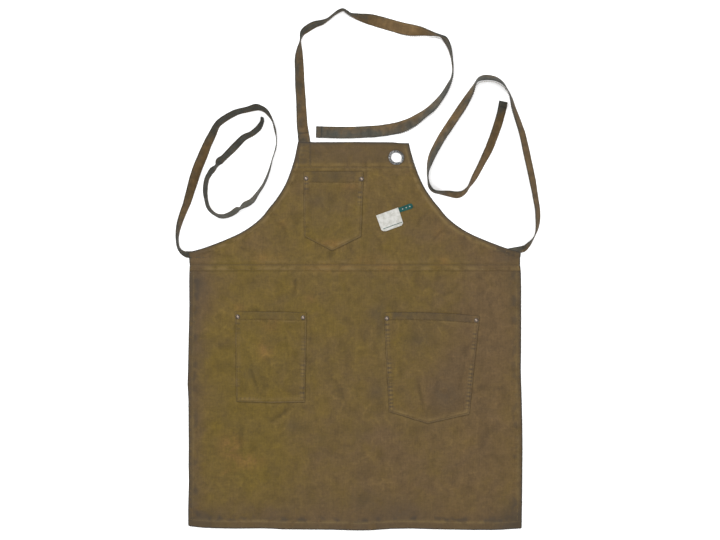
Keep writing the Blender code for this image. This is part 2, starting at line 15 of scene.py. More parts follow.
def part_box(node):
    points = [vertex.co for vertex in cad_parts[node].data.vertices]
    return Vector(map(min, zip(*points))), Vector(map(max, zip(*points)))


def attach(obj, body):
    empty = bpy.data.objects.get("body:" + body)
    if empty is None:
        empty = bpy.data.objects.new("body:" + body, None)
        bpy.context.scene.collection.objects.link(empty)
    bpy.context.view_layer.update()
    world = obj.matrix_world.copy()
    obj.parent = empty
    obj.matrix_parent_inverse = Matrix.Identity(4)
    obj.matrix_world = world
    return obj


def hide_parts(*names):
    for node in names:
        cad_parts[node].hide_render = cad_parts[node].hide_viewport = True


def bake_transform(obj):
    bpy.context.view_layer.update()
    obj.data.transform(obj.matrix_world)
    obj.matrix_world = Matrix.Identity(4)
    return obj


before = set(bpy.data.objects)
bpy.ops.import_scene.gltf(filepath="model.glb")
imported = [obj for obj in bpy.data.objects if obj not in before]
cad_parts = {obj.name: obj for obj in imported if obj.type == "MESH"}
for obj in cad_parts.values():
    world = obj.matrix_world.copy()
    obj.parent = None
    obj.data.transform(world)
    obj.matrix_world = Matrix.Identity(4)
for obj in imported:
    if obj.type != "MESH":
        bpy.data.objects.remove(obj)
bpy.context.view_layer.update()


def cad_disc(node):
    """Centre in x and y, and half width, of a CAD node's box."""
    low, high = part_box(node)
    return ((low.x + high.x) / 2, (low.y + high.y) / 2), (high.x - low.x) / 2


# ------------------------------------------------------------- driving sizes
HALF_WIDTH = 0.350
TOP_Y = 0.407
BOTTOM_Y = -0.407
FOLD_Y = 0.1537             # hinge line of the bib on the skirt
SEAM_EDGE_Y = 0.1350        # folded lower edge of the bib cloth, over the skirt
SEAM_ROWS = (0.1378, 0.1472)
TOP_SHIFT = -0.0033
CLOTH = 0.0008
SIDE_HEM = 0.010
BOTTOM_HEM = 0.0140
ARMHOLE_HEM = 0.0095
FACING_Y = 0.3475            # lower edge of the facing behind the bib's top
FACING_ROW_Y = 0.3520
STRAP_WIDTH = 0.025
STRAP_THICKNESS = 0.0015
NECK_ROOT_X = -0.1065
TIE_ROOT_Y = {-1: 0.1690, 1: 0.1800}
TIE_ROOT_X = 0.3160
TIE_ROOT_WIDTH = 0.014      # the ties are folded narrower where they are sewn in
TIE_TAPER = 0.035
TIE_BOX_X = (0.3180, 0.3380)    # ends of the sewn box that holds a tie
TIE_BOX_DROP, TIE_BOX_HIGH = 0.0040, 0.0060
HINGE_RUN = 0.024           # length of strap that bends with its hinge
ARMHOLE_HEM_X = 0.312       # the armhole hems begin here, beside the ties
GROMMET, GROMMET_RADIUS = cad_disc("grommet_face")
HIGH = 0.0038               # front of the cloth over hems and seams
LOW = 0.0027                # front of the cloth where it is one layer

ARMHOLE = (
    (0.350, 0.1740), (0.317, 0.1830), (0.273, 0.1995), (0.237, 0.2160),
    (0.211, 0.2330), (0.192, 0.2500), (0.1785, 0.2670), (0.165, 0.2835),
    (0.148, 0.3090), (0.1365, 0.3340), (0.125, 0.3675), (0.1165, TOP_Y),
)

# Outline of each pocket: mouth left, mouth right, bottom right, tip, bottom left.
POCKETS = {
    "bib_pocket": ((-0.108, 0.3435), (0.018, 0.3435), (0.013, 0.2070),
                   (-0.048, 0.1765), (-0.107, 0.2070)),
    "left_pocket": ((-0.2525, 0.0495), (-0.1015, 0.0470), (-0.105, -0.1410),
                    (-0.177, -0.1425), (-0.2490, -0.1400)),
    "right_pocket": ((0.0605, 0.0470), (0.2620, 0.0400), (0.2400, -0.1660),
                     (0.1520, -0.1860), (0.0710, -0.1610)),
}
MOUTH_HEM = {"bib_pocket": 0.0240, "left_pocket": 0.0180, "right_pocket": 0.0170}
MOUTH_BOW = {"bib_pocket": -0.0006, "left_pocket": 0.0006, "right_pocket": 0.0032}
MOUTH_SHADE = {"bib_pocket": 0.36, "left_pocket": 0.22, "right_pocket": 0.50}
# How much of each pocket's sewn edge puckers, shown as painted shade and painted highlight.
PUCKER_SHADING = {"bib_pocket": 0.22, "left_pocket": 0.15, "right_pocket": 0.48}
POCKET_SEED = {"bib_pocket": 300, "left_pocket": 310, "right_pocket": 320}
STITCH_INSET = 0.0026
STITCH_PITCH = 0.0034

# How far the edges of the lying cloth wander from straight: (place along, shift).
LEFT_WANDER = (
    (-0.407, -0.0002), (-0.373, -0.0004), (-0.339, 0.0004), (-0.305, 0.0011), (-0.272, 0.0005),
    (-0.238, 0.0008), (-0.171, 0.0004), (-0.137, 0.0002), (-0.121, -0.0006), (-0.104, -0.0017),
    (-0.070, -0.0007), (-0.037, 0.0), (-0.003, 0.0006), (0.030, 0.0016), (0.064, 0.0021),
    (0.114, 0.0017), (0.131, 0.0020), (0.148, 0.0030), (0.160, 0.0022), (0.176, 0.0),
)
RIGHT_WANDER = (
    (-0.407, 0.0), (-0.390, 0.0001), (-0.356, 0.0008), (-0.322, 0.0011), (-0.289, 0.0014),
    (-0.238, 0.0018), (-0.188, 0.0014), (-0.154, 0.0005), (-0.121, -0.0003), (-0.087, -0.0015),
    (-0.070, -0.0019), (-0.037, -0.0012), (0.0, -0.0011), (0.098, -0.0010), (0.131, -0.0017),
    (0.148, -0.0034), (0.160, -0.0030), (0.176, -0.0010), (0.190, 0.0),
)
BOTTOM_WANDER = (
    (-0.350, 0.0062), (-0.341, 0.0047), (-0.320, 0.0025), (-0.299, 0.0014), (-0.257, 0.0005),
    (-0.194, 0.0009), (-0.173, 0.0004), (-0.152, -0.0010), (-0.089, -0.0015), (-0.047, -0.0019),
    (-0.005, -0.0033), (0.016, -0.0034), (0.037, -0.0028), (0.058, -0.0012), (0.079, 0.0001),
    (0.121, 0.0006), (0.163, -0.0008), (0.205, -0.0015), (0.247, -0.0024), (0.289, -0.0024),
    (0.310, -0.0017), (0.331, -0.0002), (0.350, 0.0010),
)
TOP_WANDER = (
    (-0.120, -0.0012), (-0.085, -0.0020), (0.0, -0.0016), (0.080, -0.0022), (0.092, -0.0036),
    (0.115, -0.0042),
)


# ------------------------------------------------------------ small functions
def smooth(value):
    """Rise smoothly from 0 to 1 as value goes from 0 to 1."""
    value = np.clip(value, 0.0, 1.0)
    return value * value * (3 - 2 * value)


def bump(distance, width):
    """A bell of height 1 at distance 0."""
    return np.exp(-(distance / width) ** 2)


def lie(verts):
    """Move points of the cloth, and what is on it, as its edges wander."""
    verts = np.array(verts, float)
    x, y = verts[:, 0].copy(), verts[:, 1].copy()
    verts[:, 0] += np.interp(y, *zip(*LEFT_WANDER)) * smooth((-x - 0.20) / 0.13)
    verts[:, 0] += np.interp(y, *zip(*RIGHT_WANDER)) * smooth((x - 0.20) / 0.13)
    verts[:, 1] += np.interp(x, *zip(*BOTTOM_WANDER)) * smooth((-0.30 - y) / 0.09)
    verts[:, 1] += np.interp(x, *zip(*TOP_WANDER)) * smooth((y - 0.365) / 0.035)
    return verts


def gradient_noise(x, y, seed):
    """Smooth noise from about -0.7 to 0.7 with features one unit across."""
    cell_x = np.floor(x).astype(np.int64)
    cell_y = np.floor(y).astype(np.int64)
    fx = x - cell_x
    fy = y - cell_y

    def corner(dx, dy):
        # Mix the cell's numbers and the seed with large primes into an angle.
        key = (cell_x + dx) * 374761393 + (cell_y + dy) * 668265263 + seed * 974634777
        key = (key ^ (key >> 13)) * 1274126177
        angle = ((key ^ (key >> 16)) & 0xFFFF) / 65536.0 * math.tau
        return np.cos(angle) * (fx - dx) + np.sin(angle) * (fy - dy)

    ux = fx ** 3 * (fx * (fx * 6 - 15) + 10)
    uy = fy ** 3 * (fy * (fy * 6 - 15) + 10)
    low = corner(0, 0) * (1 - ux) + corner(1, 0) * ux
    high = corner(0, 1) * (1 - ux) + corner(1, 1) * ux
    return low * (1 - uy) + high * uy


def noise(x, y, size, seed, octaves=1):
    """Noise with features of the given size in metres, in some octaves."""
    total = 0.0
    for octave in range(octaves):
        share = 0.5 ** octave
        total = total + share * gradient_noise(x / size / share, y / size / share,
                                               seed + 31 * octave)
    return total


def unit(vectors):
    """Scale each row to length 1."""
    return vectors / np.linalg.norm(vectors, axis=1)[:, None]


def left_of(steps):
    """Turn each (x, y) row a quarter turn to the left."""
    return np.stack([-steps[:, 1], steps[:, 0]], 1)


def walk(line):
    """Distance along a line at each of its points."""
    return np.concatenate([[0], np.cumsum(np.linalg.norm(np.diff(line, axis=0), axis=1))])


def catmull_rom(points, steps):
    """Read a smooth curve through points, with some steps between two of them."""
    points = [Vector(p) for p in points]
    ends = [2 * points[0] - points[1]] + points + [2 * points[-1] - points[-2]]
    curve = []
    for a, b, c, d in zip(ends, ends[1:], ends[2:], ends[3:]):
        for step in range(steps):
            t = step / steps
            curve.append(0.5 * (2 * b + (c - a) * t + (2 * a - 5 * b + 4 * c - d) * t * t
                                + (3 * b - a - 3 * c + d) * t ** 3))
    curve.append(points[-1])
    return curve


def resample(line, spacing, closed=False):
    """Put points along a line at about the given spacing, keeping its corners."""
    line = np.asarray(line, float)
    following = np.roll(line, -1, axis=0) if closed else line[1:]
    start = line if closed else line[:-1]
    parts = []
    for a, b in zip(start, following):
        count = max(1, int(round(np.linalg.norm(b - a) / spacing)))
        parts.append(a + (b - a) * np.arange(count)[:, None] / count)
    if not closed:
        parts.append(line[-1:])
    return np.concatenate(parts)


def even_steps(line, spacing):
    """Put points along an open line at exactly even distances."""
    line = np.asarray(line, float)
    walked = walk(line)
    count = max(2, int(round(walked[-1] / spacing)) + 1)
    wanted = np.linspace(0, walked[-1], count)
    return np.stack([np.interp(wanted, walked, line[:, k]) for k in range(line.shape[1])], 1)


def line_distance(points, line, closed=False):
    """Distance from each (x, y) point to a line, and how far along it is."""
    line = np.asarray(line, float)
    ends = np.roll(line, -1, axis=0) if closed else line[1:]
    starts = line if closed else line[:-1]
    lengths = np.linalg.norm(ends - starts, axis=1)
    before = np.concatenate([[0], np.cumsum(lengths)])[:-1]
    best = np.full(len(points), 1e9)
    along = np.zeros(len(points))
    for low in range(0, len(points), 4000):
        chunk = points[low:low + 4000]
        span = ends - starts
        rel = chunk[:, None, :] - starts[None]
        t = np.clip((rel * span).sum(2) / np.maximum((span ** 2).sum(1), 1e-18), 0, 1)
        gap = rel - t[..., None] * span
        squared = (gap ** 2).sum(2)
        nearest = squared.argmin(1)
        rows = np.arange(len(chunk))
        best[low:low + 4000] = np.sqrt(squared[rows, nearest])
        along[low:low + 4000] = before[nearest] + t[rows, nearest] * lengths[nearest]
    return best, along


def inside(points, outline):
    """Which (x, y) points lie inside a closed outline."""
    x, y = points[:, 0], points[:, 1]
    result = np.zeros(len(points), bool)
    for (x0, y0), (x1, y1) in zip(outline, np.roll(outline, -1, axis=0)):
        if y0 == y1:
            continue
        crosses = (y0 > y) != (y1 > y)
        result ^= crosses & (x < (x1 - x0) * (y - y0) / (y1 - y0) + x0)
    return result


def offset_line(line, distance):
    """Move a line of (x, y) points sideways, to its left for a positive distance."""
    line = np.asarray(line, float)
    return line + distance * left_of(unit(np.gradient(line, axis=0)))


def corner_offset(line, distance):
    """Move a line with sharp corners sideways, mitring each corner."""
    line = np.asarray(line, float)
    left = left_of(unit(np.diff(line, axis=0)))
    moved = [line[0] + left[0] * distance]
    for index in range(1, len(line) - 1):
        mean = left[index - 1] + left[index]
        mean /= np.linalg.norm(mean)
        moved.append(line[index] + mean * distance / mean.dot(left[index]))
    moved.append(line[-1] + left[-1] * distance)
    return np.array(moved)


# ------------------------------------------------------------------ materials
class Nodes:
    """A short way of writing a material's nodes."""

    def __init__(self, name):
        self.mat = bpy.data.materials.new(name)
        self.mat.use_nodes = True
        self.tree = self.mat.node_tree
        self.shader = self.tree.nodes["Principled BSDF"]
        self.place = self.add("TexCoord").outputs["Object"]

    def add(self, kind, **inputs):
        """Add a node and link or set its sockets by name."""
        node = self.tree.nodes.new("ShaderNode" + kind)
        for key, value in inputs.items():
            self.set(node.inputs[key], value)
        return node

    def set(self, socket, value):
        """Link a socket or set its value."""
        if isinstance(value, bpy.types.NodeSocket):
            self.tree.links.new(value, socket)
        elif isinstance(value, tuple) and len(value) == 3 and socket.type == "RGBA":
            socket.default_value = (*value, 1.0)
        else:
            socket.default_value = value

    def math(self, operation, a, b=0.0, clamp=False):
        """One Math node."""
        node = self.tree.nodes.new("ShaderNodeMath")
        node.operation = operation
        node.use_clamp = clamp
        self.set(node.inputs[0], a)
        self.set(node.inputs[1], b)
        return node.outputs[0]

    def vary(self, base, part, share):
        """Add to base a share of how far a noise is from its middle, a half."""
        away = self.math("SUBTRACT", part, 0.5)
        return self.math("ADD", base, self.math("MULTIPLY", away, share))

    def broken(self, name, pattern, low, high):
        """A mesh attribute, kept only where a noise is high."""
        return self.math("MULTIPLY", self.attribute(name), self.ramp(pattern, low, high),
                         clamp=True)

    def mix(self, factor, a, b, blend="MIX"):
        """Mix two colours."""
        node = self.tree.nodes.new("ShaderNodeMix")
        node.data_type = "RGBA"
        node.blend_type = blend
        self.set(node.inputs[0], factor)
        self.set(node.inputs[6], a)
        self.set(node.inputs[7], b)
        return node.outputs[2]

    def shaded(self, color, value):
        """A colour times a gray value."""
        gray = self.add("CombineColor", Red=value, Green=value, Blue=value).outputs[0]
        return self.mix(1.0, color, gray, "MULTIPLY")

    def noise(self, coordinates, scale, detail=2.0, roughness=0.5, distortion=0.0):
        """One Noise Texture, from about 0.3 to 0.7."""
        node = self.add("TexNoise", Vector=coordinates, Scale=scale, Detail=detail,
                        Roughness=roughness, Distortion=distortion)
        return node.outputs[0]

    def ramp(self, value, low, high):
        """Stretch value from low..high to 0..1."""
        node = self.tree.nodes.new("ShaderNodeMapRange")
        node.interpolation_type = "SMOOTHSTEP"
        self.set(node.inputs[0], value)
        self.set(node.inputs[1], low)
        self.set(node.inputs[2], high)
        return node.outputs[0]

    def attribute(self, name):
        """A mesh attribute as a number."""
        node = self.tree.nodes.new("ShaderNodeAttribute")
        node.attribute_name = name
        return node.outputs["Fac"]

    def streaks(self, scale):
        """Noise stretched by a different amount on each axis."""
        stretched = self.add("Mapping", Vector=self.place, Scale=scale).outputs[0]
        return self.noise(stretched, 1.0)

    def finish(self, color, roughness, height=None, distance=0.0, strength=1.0):
        """Connect colour, roughness and, where there is a height, bump to the shader."""
        self.set(self.shader.inputs["Base Color"], color)
        self.set(self.shader.inputs["Roughness"], roughness)
        if height is not None:
            node = self.add("Bump", Height=height, Distance=distance, Strength=strength)
            self.tree.links.new(node.outputs[0], self.shader.inputs["Normal"])
        return self.mat


def cloth_value(n, speck_scale, ridge_share):
    """Fine uneven darkness of dyed, waxed yarn, about 1, paler on the ridges and darker in
    the creases: rubbed wax, painted highlight and painted shade.
    """
    broad = n.noise(n.place, 17.0, 3.0, 0.55, 0.6)
    blots = n.noise(n.place, 48.0, 3.0, 0.6, 0.4)
    speck = n.noise(n.place, speck_scale, 3.0, 0.65)
    grain = n.noise(n.place, 900.0, 2.0, 0.6)
    streak_x = n.streaks((70.0, 620.0, 200.0))
    streak_y = n.streaks((520.0, 55.0, 200.0))
    value = 1.0
    for part, share in ((broad, 0.32), (blots, 0.50), (speck, 0.62), (grain, 0.35),
                        (streak_x, 0.28), (streak_y, 0.34)):
        value = n.vary(value, part, share)
    # ridge: painted highlight on ridges and painted shade in creases, with rubbed wax on the
    # canvas's ridges.
    ridge = n.math("MULTIPLY", n.attribute("ridge"), ridge_share)
    return n.math("MULTIPLY", value, n.math("ADD", 1.0, ridge)), broad, blots, speck


def weave_height(n, speck, size):
    """Bump of a plain weave with slubs."""
    fold = math.tau / size
    split = n.add("SeparateXYZ", Vector=n.place)
    across = n.math("SINE", n.math("MULTIPLY", split.outputs[0], fold))
    up = n.math("SINE", n.math("MULTIPLY", split.outputs[1], fold))
    weave = n.math("MULTIPLY", across, up)
    slubs = n.math("ADD", n.streaks((160.0, 1500.0, 400.0)), n.streaks((1500.0, 160.0, 400.0)))
    height = n.math("ADD", n.math("MULTIPLY", weave, 0.25), slubs)
    return n.math("ADD", height, n.math("MULTIPLY", speck, 1.6))


def canvas_material(name):
    """Waxed canvas: mottled olive and brown, rubbed pale on ridges, partly as a painted highlight,
    with painted shade at edges, in creases and grooves, and with its weave.
    """
    n = Nodes(name)
    value, broad, blots, speck = cloth_value(n, 210.0, 0.26)
    hue = n.noise(n.place, 30.0, 3.0, 0.6, 0.5)
    tone = n.vary(n.vary(n.attribute("tone"), broad, 1.1), hue, 1.2)
    color = n.mix(n.ramp(tone, -1.2, 1.2), (0.0745, 0.0465, 0.0200), (0.0775, 0.0520, 0.0096))
    color = n.mix(n.broken("warm", hue, 0.34, 0.58), color, (0.118, 0.065, 0.019))
    color = n.shaded(color, value)
    color = n.mix(n.broken("wear_and_highlight", blots, 0.34, 0.58), color, (0.116, 0.078, 0.029))
    # Darker where the shade attribute says: painted shade and shadow at edges, in grooves, puckers
    # and folds and under the bib's seam, and some darker patches.
    color = n.mix(n.broken("shade", blots, 0.20, 0.50), color, (0.035, 0.0265, 0.018))
    # Near black over the rounded edges of the cloth: painted shade.
    color = n.mix(n.math("MULTIPLY", n.attribute("rim_shade"), 0.8), color, (0.018, 0.018, 0.018))
    rough = n.vary(n.vary(0.66, broad, 0.4), speck, 0.25)
    n.shader.inputs["Specular IOR Level"].default_value = 0.12
    return n.finish(color, rough, weave_height(n, speck, 0.00085), 0.00022, 0.8)


def strap_material(name):
    """The straps' cloth: slate or brown along its length, partly its own colour and partly
    painted shade, with painted shade along its edges.
    """
    n = Nodes(name)
    value, _, blots, speck = cloth_value(n, 260.0, 0.20)
    # The side attribute makes the strap slater towards its raised edge: painted shade across the
    # tilted strap.
    tone = n.math("ADD", n.math("MULTIPLY", n.attribute("side"), 0.60), n.attribute("tone"))
    tone = n.vary(tone, blots, 3.0)
    color = n.mix(n.ramp(tone, -1.1, 1.1), (0.0375, 0.0370, 0.0300), (0.0800, 0.0495, 0.0205))
    # Paler still where the tone passes 1, part of the same mix of own colour and painted shade.
    pale = n.math("MAXIMUM", 0.0, n.math("SUBTRACT", n.attribute("tone"), 1.0))
    value = n.math("ADD", value, n.math("MULTIPLY", 0.45, pale))
    color = n.shaded(color, value)
    rubbed = n.math("MULTIPLY", n.broken("row", blots, 0.35, 0.62), 0.35)
    color = n.mix(rubbed, color, (0.090, 0.064, 0.036))
    # Near black where the edge attribute says: painted shade.
    dark = n.math("MULTIPLY", n.attribute("edge"), 0.80, clamp=True)
    color = n.mix(dark, color, (0.013, 0.015, 0.015))
    n.shader.inputs["Specular IOR Level"].default_value = 0.12
    return n.finish(color, n.vary(0.68, speck, 0.3), weave_height(n, speck, 0.00080), 0.00020, 0.8)


def metal_material(name, color, dark, roughness):
    """Plated metal with fine scratches, and grime where the mesh says so."""
    n = Nodes(name)
    tarnish = n.noise(n.place, 260.0, 4.0, 0.6)
    fine = n.noise(n.place, 1800.0, 2.0, 0.6)
    color = n.mix(n.ramp(tarnish, 0.48, 0.78), color, dark)
    grime = n.broken("grime", tarnish, 0.25, 0.50)
    color = n.mix(grime, color, (0.016, 0.015, 0.014))
    rough = n.math("ADD", roughness, n.math("MULTIPLY", fine, 0.08))
    rough = n.math("ADD", rough, n.math("MULTIPLY", grime, 0.35))
    n.shader.inputs["Metallic"].default_value = 1.0
    return n.finish(color, rough, fine, 0.00004, 0.5)


def thread_material(name, color, pale):
    """Twisted thread, a little uneven in colour."""
    n = Nodes(name)
    uneven = n.noise(n.place, 130.0, 3.0, 0.6)
    fibre = n.noise(n.place, 3500.0, 2.0, 0.6)
    color = n.mix(n.ramp(uneven, 0.35, 0.65), color, pale)
    n.shader.inputs["Specular IOR Level"].default_value = 0.2
    rough = n.math("ADD", 0.62, n.math("MULTIPLY", fibre, 0.3))
    return n.finish(color, rough, fibre, 0.00010, 0.7)


def floor_material():
    """Plain pale floor."""
    n = Nodes("studio_floor")
    fine = n.noise(n.place, 40.0, 2.0)
    color = n.mix(fine, (0.955, 0.955, 0.955), (0.965, 0.965, 0.965))
    return n.finish(color, 0.95)


# --------------------------------------------------------------- cloth colours
def patches(points, places):
    """Add up soft patches: (x, y, half width, half height, amount) each."""
    total = np.zeros(len(points))
    for x, y, wide, high, amount in places:
        total += amount * np.exp(-((points[:, 0] - x) / wide) ** 2
                                 - ((points[:, 1] - y) / high) ** 2)
    return total


# Where the wax looks olive (above 0) or brown and purplish (below 0).
TONE = (
    (-0.225, -0.060, 0.110, 0.200, 0.75), (-0.250, -0.260, 0.080, 0.090, 0.60),
    (-0.270, 0.145, 0.080, 0.018, 0.50), (0.190, 0.145, 0.060, 0.020, 0.50),
    (-0.030, 0.060, 0.110, 0.110, 0.30), (-0.070, 0.215, 0.120, 0.055, 0.35),
    (0.110, 0.080, 0.070, 0.040, 0.25), (0.175, -0.270, 0.035, 0.035, 0.55),
    (0.280, -0.020, 0.080, 0.240, -0.95), (0.140, -0.290, 0.210, 0.100, -0.75),
    (-0.338, 0.000, 0.022, 0.420, -0.80), (0.000, -0.390, 0.420, 0.032, -0.75),
    (0.000, 0.385, 0.130, 0.028, -0.55), (-0.205, 0.205, 0.050, 0.030, -0.45),
    (0.195, 0.225, 0.060, 0.040, -0.45), (0.189, -0.126, 0.040, 0.040, -0.90),
    (0.205, -0.060, 0.030, 0.040, -0.60), (-0.310, 0.090, 0.035, 0.060, -0.60),
    (0.310, 0.170, 0.045, 0.030, -0.60), (-0.320, 0.165, 0.035, 0.020, -0.50),
    (0.060, -0.210, 0.030, 0.025, -0.55), (0.160, -0.110, 0.030, 0.050, -0.40),
    (0.285, 0.020, 0.050, 0.080, -0.40), (-0.210, -0.280, 0.070, 0.050, 0.50),
)
# Warm, orange-brown rubbed places.
WARM = (
    (-0.262, -0.234, 0.024, 0.022, 0.80), (-0.224, -0.262, 0.030, 0.016, 0.75),
    (-0.178, 0.025, 0.016, 0.016, 0.60), (-0.189, -0.031, 0.014, 0.018, 0.70),
    (-0.050, 0.142, 0.050, 0.008, 0.80), (0.073, 0.142, 0.024, 0.009, 0.80),
    (0.183, 0.150, 0.014, 0.014, 0.75), (-0.094, 0.077, 0.010, 0.008, 0.60),
    (-0.048, 0.190, 0.030, 0.010, 0.70), (-0.010, 0.312, 0.018, 0.008, 0.50),
    (-0.268, -0.290, 0.020, 0.020, 0.40), (-0.185, 0.160, 0.030, 0.014, 0.45),
    (0.030, 0.158, 0.026, 0.010, 0.45), (-0.150, 0.235, 0.012, 0.010, 0.35),
    (-0.244, 0.058, 0.012, 0.008, 0.45), (0.175, 0.215, 0.010, 0.016, 0.40),
)
# Darker places.
SHADE = (
    (0.330, -0.385, 0.034, 0.034, 0.65), (-0.325, -0.385, 0.050, 0.024, 0.50),
    (-0.340, 0.000, 0.020, 0.200, 0.34), (0.000, -0.392, 0.360, 0.014, 0.30),
    (0.050, -0.350, 0.160, 0.016, 0.16), (-0.170, -0.368, 0.120, 0.014, 0.18),
    (-0.045, 0.265, 0.060, 0.060, 0.10), (0.175, -0.030, 0.080, 0.110, 0.08),
    (0.100, -0.372, 0.070, 0.016, 0.35), (0.189, -0.126, 0.030, 0.030, 0.42),
    (0.042, 0.046, 0.016, 0.014, 0.35), (0.045, -0.120, 0.016, 0.016, 0.35),
    (-0.215, -0.075, 0.016, 0.016, 0.30), (-0.135, -0.190, 0.016, 0.014, 0.30),
    (-0.325, 0.105, 0.022, 0.028, 0.40), (0.052, 0.020, 0.010, 0.050, 0.25),
    (0.335, 0.100, 0.016, 0.080, 0.25), (-0.080, 0.285, 0.020, 0.016, 0.28),
    (0.130, -0.010, 0.030, 0.020, 0.25), (0.320, 0.163, 0.030, 0.012, 0.35),
    (-0.070, -0.215, 0.014, 0.010, 0.25), (0.010, -0.205, 0.020, 0.020, 0.22),
    (0.020, -0.340, 0.030, 0.020, 0.22), (-0.338, -0.330, 0.014, 0.060, 0.30),
)


# ------------------------------------------------------------------ cloth relief
# Creases: depth, half width, and the points of the line.
CREASES = {
    "skirt": (
        (0.0010, 0.0035, ((-0.126, 0.126), (-0.1245, 0.105), (-0.127, 0.073))),
        (0.0008, 0.0050, ((-0.132, -0.149), (-0.158, -0.170), (-0.188, -0.190))),
        (0.0004, 0.0040, ((-0.0945, 0.052), (-0.0935, 0.010), (-0.095, -0.032))),
        (0.0003, 0.0045, ((0.026, 0.016), (0.042, -0.022), (0.054, -0.070))),
        (0.0002, 0.0060, ((-0.060, -0.205), (-0.030, -0.228), (0.010, -0.240))),
        (0.0002, 0.0060, ((0.115, -0.240), (0.150, -0.222), (0.185, -0.205))),
        (0.0003, 0.0070, ((0.195, -0.300), (0.235, -0.322), (0.275, -0.330))),
        (0.0002, 0.0060, ((-0.205, -0.330), (-0.160, -0.345), (-0.120, -0.340))),
        (0.0003, 0.0045, ((0.262, 0.112), (0.285, 0.060), (0.296, 0.000))),
        (0.0005, 0.0040, ((0.225, 0.118), (0.205, 0.092), (0.170, 0.075))),
        (0.0002, 0.0050, ((-0.300, 0.070), (-0.282, 0.020), (-0.285, -0.040))),
        (0.0002, 0.0050, ((0.290, -0.110), (0.276, -0.170), (0.283, -0.240))),
        (0.0004, 0.0040, ((-0.030, 0.120), (-0.010, 0.085), (-0.018, 0.050))),
        (0.0005, 0.0050, ((-0.225, -0.180), (-0.240, -0.215), (-0.232, -0.260))),
        (0.0004, 0.0045, ((-0.060, -0.080), (-0.030, -0.110), (-0.025, -0.150))),
    ),
    "bib": (
        (0.0007, 0.0030, ((0.0235, 0.376), (0.0240, 0.345), (0.0225, 0.312))),
        (0.0005, 0.0035, ((0.160, 0.262), (0.140, 0.246), (0.130, 0.222))),
        (0.0005, 0.0035, ((0.196, 0.222), (0.176, 0.212), (0.160, 0.190))),
        (0.0005, 0.0040, ((-0.172, 0.240), (-0.150, 0.226), (-0.142, 0.200))),
        (0.0004, 0.0040, ((0.040, 0.215), (0.055, 0.190), (0.050, 0.168))),
        (0.0004, 0.0040, ((-0.250, 0.186), (-0.225, 0.178), (-0.205, 0.166))),
        (0.0005, 0.0035, ((0.312, 0.176), (0.290, 0.174), (0.270, 0.166))),
        (0.0005, 0.0035, ((-0.312, 0.176), (-0.292, 0.172), (-0.275, 0.164))),
    ),
    "left_pocket": (
        (0.0010, 0.0035, ((-0.222, -0.063), (-0.212, -0.090), (-0.202, -0.120))),
        (0.0002, 0.0045, ((-0.185, -0.040), (-0.178, -0.075), (-0.182, -0.105))),
        (0.0004, 0.0040, ((-0.150, 0.015), (-0.140, -0.030), (-0.138, -0.060))),
    ),
    "right_pocket": (
        (0.0011, 0.0038, ((0.132, -0.090), (0.138, -0.125), (0.147, -0.157))),
        (0.0004, 0.0060, ((0.180, -0.075), (0.172, -0.105), (0.174, -0.140))),
        (0.0003, 0.0050, ((0.120, 0.018), (0.136, -0.018), (0.150, -0.034))),
        (0.0003, 0.0050, ((0.235, -0.060), (0.222, -0.090), (0.220, -0.125))),
    ),
    "bib_pocket": (
        (0.0005, 0.0035, ((-0.085, 0.300), (-0.070, 0.280), (-0.066, 0.255))),
        (0.0004, 0.0035, ((-0.010, 0.290), (-0.020, 0.262), (-0.018, 0.235))),
    ),
}


def relief(points, piece, seed):
    """Height of a piece's swells, dents and creases, and how pale or dark they look: rubbed wax
    and painted highlight on the ridges, painted shade in the dents and creases.
    """
    x, y = points.T
    bent_x = x + 0.014 * noise(x, y, 0.07, seed + 11)
    bent_y = y + 0.014 * noise(x, y, 0.07, seed + 12)
    z = 0.0011 * noise(x, y, 0.17, seed + 1)
    z = z + 0.0014 * noise(bent_x, bent_y, 0.060, seed + 2, 2)
    some = smooth((noise(x, y, 0.10, seed + 21) + 0.15) / 0.4)
    large = np.abs(noise(bent_x, bent_y * 0.8, 0.036, seed + 5))
    small = np.abs(noise(bent_x * 0.8, bent_y * 1.1, 0.018, seed + 6))
    z = z + 0.00110 * (0.22 - large) + 0.00040 * (0.22 - small)
    z = z + 0.00016 * noise(x, y, 0.008, seed + 8, 2)
    # Paler on ridges, darker in dents: rubbed wax, painted highlight and painted shade.
    wear_and_shading = 0.7 * some * smooth((0.09 - large) / 0.09) - 0.5 * smooth((large - 0.26) / 0.25)
    wear_and_shading = wear_and_shading + 0.35 * smooth((0.07 - small) / 0.07) - 0.25 * smooth((small - 0.26) / 0.25)
    for depth, width, line in CREASES[piece]:
        curve = np.array(catmull_rom(line, 5))
        distance, along = line_distance(points, curve)
        share = along / walk(curve)[-1]
        ends = smooth(share / 0.3) * smooth((1 - share) / 0.3)
        beside, _ = line_distance(points, offset_line(curve, 1.8 * width))
        rise = ends * (0.65 * bump(beside, 1.3 * width) - bump(distance, width))
        z = z + 1.3 * depth * rise
        wear_and_shading = wear_and_shading + 1.1 * np.minimum(rise, 0.25) * min(1.0, depth / 0.0007)
    return z, wear_and_shading


def puckers(points, line, reach, size, seed):
    """Small folds that run away from a sewn line."""
    distance, along = line_distance(points, line)
    wave = noise(along, np.full(len(points), 0.5 * size), size, seed, 2)
    return wave * np.exp(-distance / reach)


def groove(points, line, depth=0.00045, width=0.0011):
    """The small valley that a sewn row pulls into the cloth."""
    return -depth * bump(line_distance(points, line)[0], width)


def edge_drop(distance, radius):
    """How far a rounded edge falls below its flat, at a distance from the edge."""
    left = radius - np.clip(distance, 0, radius)
    return 0.85 * (radius - np.sqrt(np.maximum(radius ** 2 - left ** 2, 0)))


